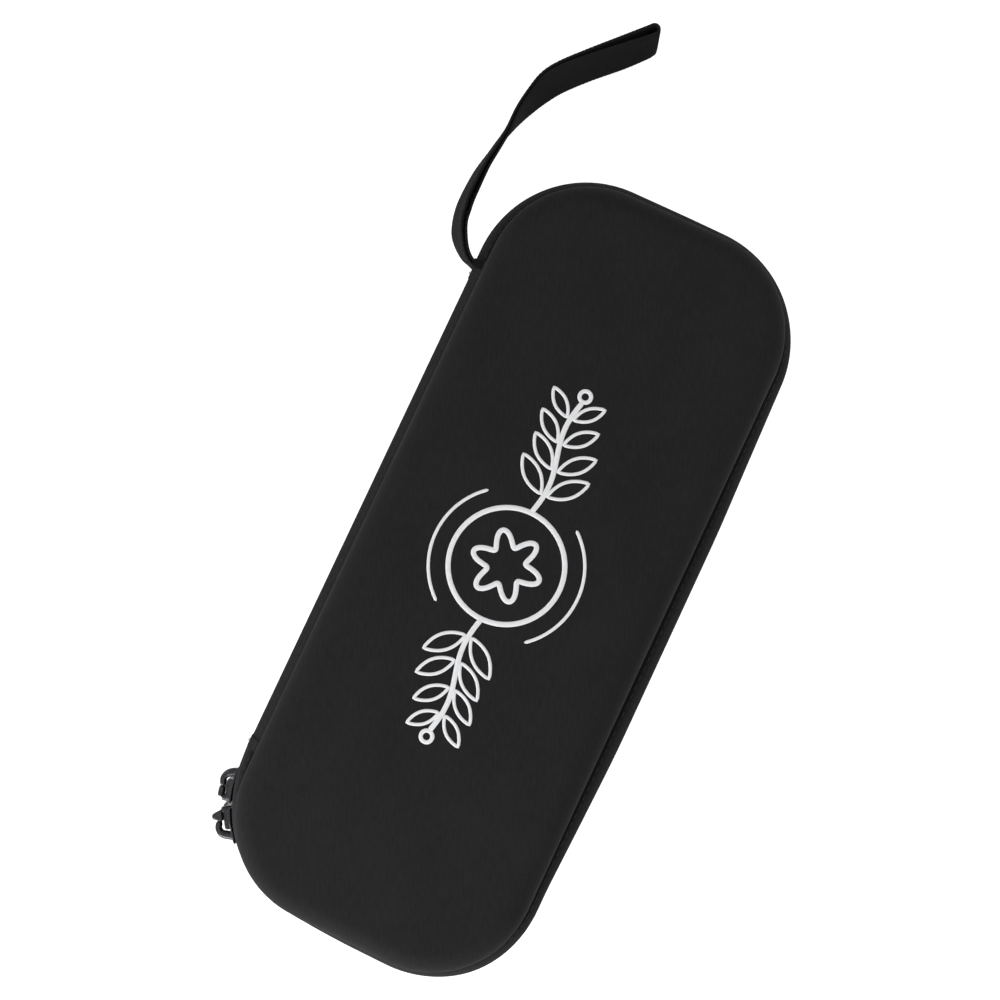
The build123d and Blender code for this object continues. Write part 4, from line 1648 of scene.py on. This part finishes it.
@dataclass(frozen=True)
class NetPocket:
    """The lid's pocket: knitted net, the elastic along its open edge, and its sewn-down edge."""

    height: float = 11.8
    thread: float = 0.25
    strand: float = 1.6
    hold: float = 1.35
    period: float = 3.2
    open_end: float = 70.0
    clearance: float = 0.3
    wall: float = 4.7
    net_share: float = 0.65
    side_gap: float = 0.3
    contact: float = 0.05
    elastic_gap: float = 0.1
    elastic_width: float = 8.0
    elastic_thickness: float = 1.6
    elastic_drawn: float = 0.99
    ruffle: float = 2.2
    ruffle_share: float = 0.12
    tape_width: float = 6.0
    tape_thickness: float = 0.5
    seam_inset: float = 1.3
    stitch: float = 2.3
    stitch_step: float = 3.2

    def wall_inset(self, height: float) -> float:
        """Inset of the pocket's edge at a height on the lid's lining."""
        return float(lid_form.wall_inset(self.wall + self.clearance, height))

    def front_edge(self, across: Array) -> Array:
        """How far forward the net reaches at each place across it: the rounded front's line."""
        radius = zip_line.corner_radius - self.wall_inset(self.height)
        past = np.clip(np.abs(across) - zip_line.corner[0], 0, radius)
        return -zip_line.corner[1] - np.sqrt(radius**2 - past**2)

    def net(self) -> None:
        """Make the net.

        Each strand runs back from the front edge and swings a strand's half spacing to each
        side, (a / 2) cos(2 pi y / period), in step against its neighbours, so they touch in turn.
        """
        inset = self.wall_inset(self.height)
        half = zip_line.half_width - inset - self.side_gap
        count = int(2 * half / self.strand) // 2 * 2
        across = ((np.arange(count) - (count - 1) / 2) * self.strand)[:, None]
        steps = int((self.open_end + zip_line.half_length) / self.period * 6)
        front = self.front_edge(across)
        y = front + np.linspace(0, 1, steps) * (self.open_end - front)
        way = np.where(np.arange(count) % 2, 1.0, -1.0)[:, None]
        swing = np.clip(self.hold * np.cos(2 * np.pi * y / self.period), -1, 1)
        x = np.clip(across + way * swing * (self.strand / 2 - self.contact), -half, half)
        z = np.full(y.shape, ZIP_HEIGHT + self.height + self.thread + self.contact)
        strands = [tube(line, self.thread, 4) for line in np.stack([x, y, z], axis=-1)]
        piece = make_piece("mesh_pocket_panel", strands, [net_nylon], "lid", crease=120.0)

    def elastic(self) -> None:
        """Make the elastic: a flat band whose faces ripple by r sin(2 pi x / ruffle) where it gathers."""
        half = zip_line.half_width - self.wall_inset(self.height + self.elastic_thickness)
        x = np.linspace(-half, half, 260)[:, None]
        y, z = oval(28, (self.elastic_width / 2, self.elastic_thickness / 2), (0.35, 0.5))
        y = self.open_end + self.elastic_gap + self.elastic_width / 2 + y * self.elastic_drawn
        ripple = 1 - self.ruffle_share + self.ruffle_share * np.sin(2 * np.pi * x / self.ruffle)
        z = ZIP_HEIGHT + self.height + self.elastic_thickness / 2 + z * ripple
        grid = np.stack(np.broadcast_arrays(x, y, z), axis=-1)
        band = carried(grid, x[:, 0] + half, np.linspace(0, 2 * self.elastic_width, 29))
        make_piece("mesh_pocket_elastic", [band], [gathered_elastic], "lid", crease=70.0)

    def edge(self) -> None:
        """Make the tape that sews the net's three closed sides to the lining, with its stitches."""
        inset, thick = self.wall_inset(self.height), self.tape_thickness
        bottom = self.height - self.contact - thick
        across, over = oval(20, (self.tape_width / 2, thick / 2), (0.4, 0.6))
        first, last = -self.open_end, zip_line.total / 2 + self.open_end
        along = np.linspace(first, last, 330)
        grid = zip_line.place(along, inset + self.tape_width / 2 + across, bottom + thick / 2 + over)
        tape = carried(grid, along, np.linspace(0, 2 * self.tape_width, 21))
        starts = np.arange(first + 1, last - 3, self.stitch_step)
        rows = [
            zip_line.sewn(starts, self.stitch, inset + seam, bottom, (0, 0, -1), radius=0.15, rise=0.04)
            for seam in (self.seam_inset, self.tape_width - self.seam_inset)
        ]
        make_piece("mesh_pocket_binding", [tape, *rows], [bias_tape, sewing_thread], "lid")

    def build(self) -> None:
        """Make the pocket's three pieces."""
        for make in (self.edge, self.elastic, self.net):
            make()


@dataclass(frozen=True)
class TubeStrap:
    """The strap across the base that holds tubing down: two halves that lap in the middle."""

    width: float = 20.0
    thickness: float = 1.2
    root: float = 40.6
    lap: float = 10.0
    root_length: float = 8.0
    low: float = 4.75
    high: float = 7.7
    bend: float = 5.0
    box: Pair = (1.5, 7.0)
    box_margin: float = 2.0
    stitch_step: float = 2.4
    stitch_share: float = 0.75

    def half(self, name: str, corners: list[Pair]) -> None:
        """Make one half: a flat bar of a section carried along its eased line across the base.

        Args:
            name: The piece's name.
            corners: The line's corners, as x and the height of the underside.
        """
        line = evenly(eased([(x, z + self.thickness / 2) for x, z in corners], self.bend, 9), 70)
        along = directions(line)
        y, off = oval(28, (self.width / 2, self.thickness / 2), (0.25, 0.5))
        x, z = line[:, :1] - along[:, 1:] * off, line[:, 1:] + along[:, :1] * off
        around = travelled(np.column_stack([y, off]), closed=True)
        bar = carried(np.stack(np.broadcast_arrays(x, y, z), axis=-1), travelled(line), around)
        shapes = [bar, self.box_stitch(corners[0])]
        piece = make_piece(name, shapes, [strap_webbing, sewing_thread], "base", crease=70.0)
        length = float(travelled(line)[-1])

    def box_stitch(self, root: Pair) -> Shape:
        """A sewn box with its diagonals, on top of the strap at its root.

        Args:
            root: Where the strap's line starts.

        Returns:
            The stitches.
        """
        near, far = (root[0] - np.sign(root[0]) * reach for reach in self.box)
        side = self.width / 2 - self.box_margin
        around = [(near, -side), (far, -side), (far, side), (near, side)]
        corners = np.array([*around, around[0], around[2], around[3], around[1]])
        marks = []
        for first, last in zip(corners[:-1], corners[1:]):
            count = max(2, int(np.linalg.norm(last - first) / self.stitch_step))
            marks.append(first + np.linspace(0, 1, count + 1)[:, None] * (last - first))
        starts = np.concatenate([mark[:-1] for mark in marks])
        ends = np.concatenate([mark[:-1] + self.stitch_share * np.diff(mark, axis=0) for mark in marks])
        level = np.full((len(starts), 1), root[1] + self.thickness)
        return stitches(np.hstack([starts, level]), np.hstack([ends, level]), (0.0, 0.0, 1.0))

    def build(self) -> None:
        """Make both halves."""
        root, low, ramp = self.root, self.low, self.root_length
        self.half("tube_strap_left", [(-root, low), (-root / 2, low), (self.lap, low)])
        high = [(self.lap + ramp, self.high), (-self.lap, self.high)]
        self.half("tube_strap_right", [(root, low), (root - ramp, low), *high])


def dress_nodes(finishes: dict[str, Finish]) -> None:
    """Give each carried-over CAD node its finish.

    Args:
        finishes: The finish of each node, by name.
    """
    for name, finish in finishes.items():
        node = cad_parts[name]
        for slot in node.material_slots:
            slot.link = "OBJECT"
            slot.material = finish.material()
        if not node.material_slots:
            node.data.materials.append(finish.material())
        log.info("%s: wears %s", name, finish.name)


# --- Studio --------------------------------------------------------------------------------


@dataclass(frozen=True)
class Lamp:
    """A square soft light aimed at the case."""

    name: str
    place: Triple
    size: float
    power: float

    def build(self) -> None:
        """Hang the lamp and turn it to the case's middle."""
        light = bpy.data.lights.new(self.name, "AREA")
        light.shape, light.size, light.energy = "SQUARE", self.size, self.power
        lamp = bpy.data.objects.new(self.name, light)
        lamp.location = self.place
        aim = -(lamp.location - type(lamp.location)((0, 0, ZIP_HEIGHT * MM)))
        lamp.rotation_euler = aim.to_track_quat("-Z", "Y").to_euler()
        bpy.context.scene.collection.objects.link(lamp)


@dataclass(frozen=True)
class Studio:
    """The camera over the case, plain soft lights and a white floor that keeps its shadow."""

    camera_place: Triple = (7.6, 10.6, 400.0)
    camera_turn: Triple = (2.88, 2.34, 25.13)
    lens: float = 38.94
    sensor: float = 36.0
    nearest: float = 0.01
    floor_half: float = 3.0
    floor_grey: float = 0.5
    floor_glow: float = 0.85
    floor_grain: float = 400.0
    ambient: float = 0.28
    lamps: tuple[Lamp, ...] = (
        Lamp("overhead", (0.0, 0.0, 1.3), 1.0, 3.9),
        Lamp("front", (-0.14, -0.79, 0.31), 0.45, 9.6),
        Lamp("left", (-0.75, 0.0, 0.24), 0.45, 1.6),
        Lamp("rear_right", (0.5, 0.62, 0.42), 0.5, 2.6),
    )

    def camera(self) -> None:
        """Stand the camera at its place and turn it."""
        data = bpy.data.cameras.new("camera")
        data.lens, data.sensor_width, data.clip_start = self.lens, self.sensor, self.nearest
        camera = bpy.data.objects.new("camera", data)
        camera.location = [value * MM for value in self.camera_place]
        camera.rotation_euler = [math.radians(value) for value in self.camera_turn]
        bpy.context.scene.collection.objects.link(camera)
        bpy.context.scene.camera = camera

    def seen_white(self, tree: bpy.types.NodeTree) -> Socket:
        """A value that is 1 for what the camera, a reflection or a clear material sees.

        Args:
            tree: The nodes to add it to.

        Returns:
            The value.
        """
        path = tree.nodes.new("ShaderNodeLightPath")
        seen = path.outputs["Is Camera Ray"]
        for ray in ("Is Glossy Ray", "Is Transmission Ray"):
            larger = tree.nodes.new("ShaderNodeMath")
            larger.operation = "MAXIMUM"
            tree.links.new(seen, larger.inputs[0])
            tree.links.new(path.outputs[ray], larger.inputs[1])
            seen = larger.outputs[0]
        return seen

    def world(self) -> None:
        """Plain grey light all round, that looks white itself."""
        world = bpy.data.worlds.new("studio")
        world.use_nodes = True
        tree = world.node_tree
        tree.nodes.clear()
        mix = tree.nodes.new("ShaderNodeMixShader")
        output = tree.nodes.new("ShaderNodeOutputWorld")
        tree.links.new(self.seen_white(tree), mix.inputs[0])
        for place, strength in ((1, self.ambient), (2, 1.0)):
            background = tree.nodes.new("ShaderNodeBackground")
            background.inputs["Strength"].default_value = strength
            background.inputs["Color"].default_value = (1, 1, 1, 1)
            tree.links.new(background.outputs[0], mix.inputs[place])
        tree.links.new(mix.outputs[0], output.inputs[0])
        bpy.context.scene.world = world

    def floor(self) -> None:
        """A wide floor whose own pale colour is lifted to white, but for the case's shadow."""
        half = self.floor_half
        mesh = bpy.data.meshes.new("floor")
        corners = [(-half, -half, 0), (half, -half, 0), (half, half, 0), (-half, half, 0)]
        mesh.from_pydata(corners, [], [(0, 1, 2, 3)])
        board = Board("floor")
        grain = board.noise(Space.SPACE, (self.floor_grain,) * 3)
        board.wear(
            Base_Color=board.tint(grain, (self.floor_grey,) * 3, 0.99, 1.0),
            Roughness=0.9, Specular_IOR_Level=0.0,
            Emission_Color=(1, 1, 1, 1),
            Emission_Strength=board.sums("MULTIPLY", self.seen_white(board.tree), self.floor_glow),
        )
        mesh.materials.append(board.material)
        floor = bpy.data.objects.new("floor", mesh)
        bpy.context.scene.collection.objects.link(floor)

    def build(self) -> None:
        """Set up everything round the case."""
        bpy.context.scene.view_settings.view_transform = "Standard"
        self.camera()
        self.world()
        self.floor()
        for lamp in self.lamps:
            lamp.build()


def main() -> None:
    """Build the studio, then the case's sub-assemblies from the outside in."""
    logging.basicConfig(level=logging.INFO, format="%(name)s: %(message)s")
    Studio().build()
    WristStrap().build()
    for form, body in ((lid_form, "lid"), (base_form, "base")):
        MouldedLayer(f"{body}_cover", body, form, 0.0, 0.8, cover_cloth, "cover_cloth").build()
        MouldedLayer(f"{body}_lining", body, form, 4.1, 4.7, lining_nap, "lining_cloth").build()
        RimBinding(form.side).build()
    LidPrint().build()
    ZipBand().build()
    Spine().build()
    ZipSlider("a", 12.9, 1, bow=0.35, eye_lug=0.0).build()
    ZipSlider("b", 33.5, -1, bow=1.2, eye_lug=1.9).build()
    NetPocket().build()
    TubeStrap().build()
    dress_nodes(
        {
            "lid_core": foam_board, "base_core": foam_board, "strap_anchor": strap_webbing,
            "tube_strap_loop_patch": fastener_pile, "tube_strap_hook_patch": fastener_pile,
        }
    )


if __name__ == "__main__":
    main()
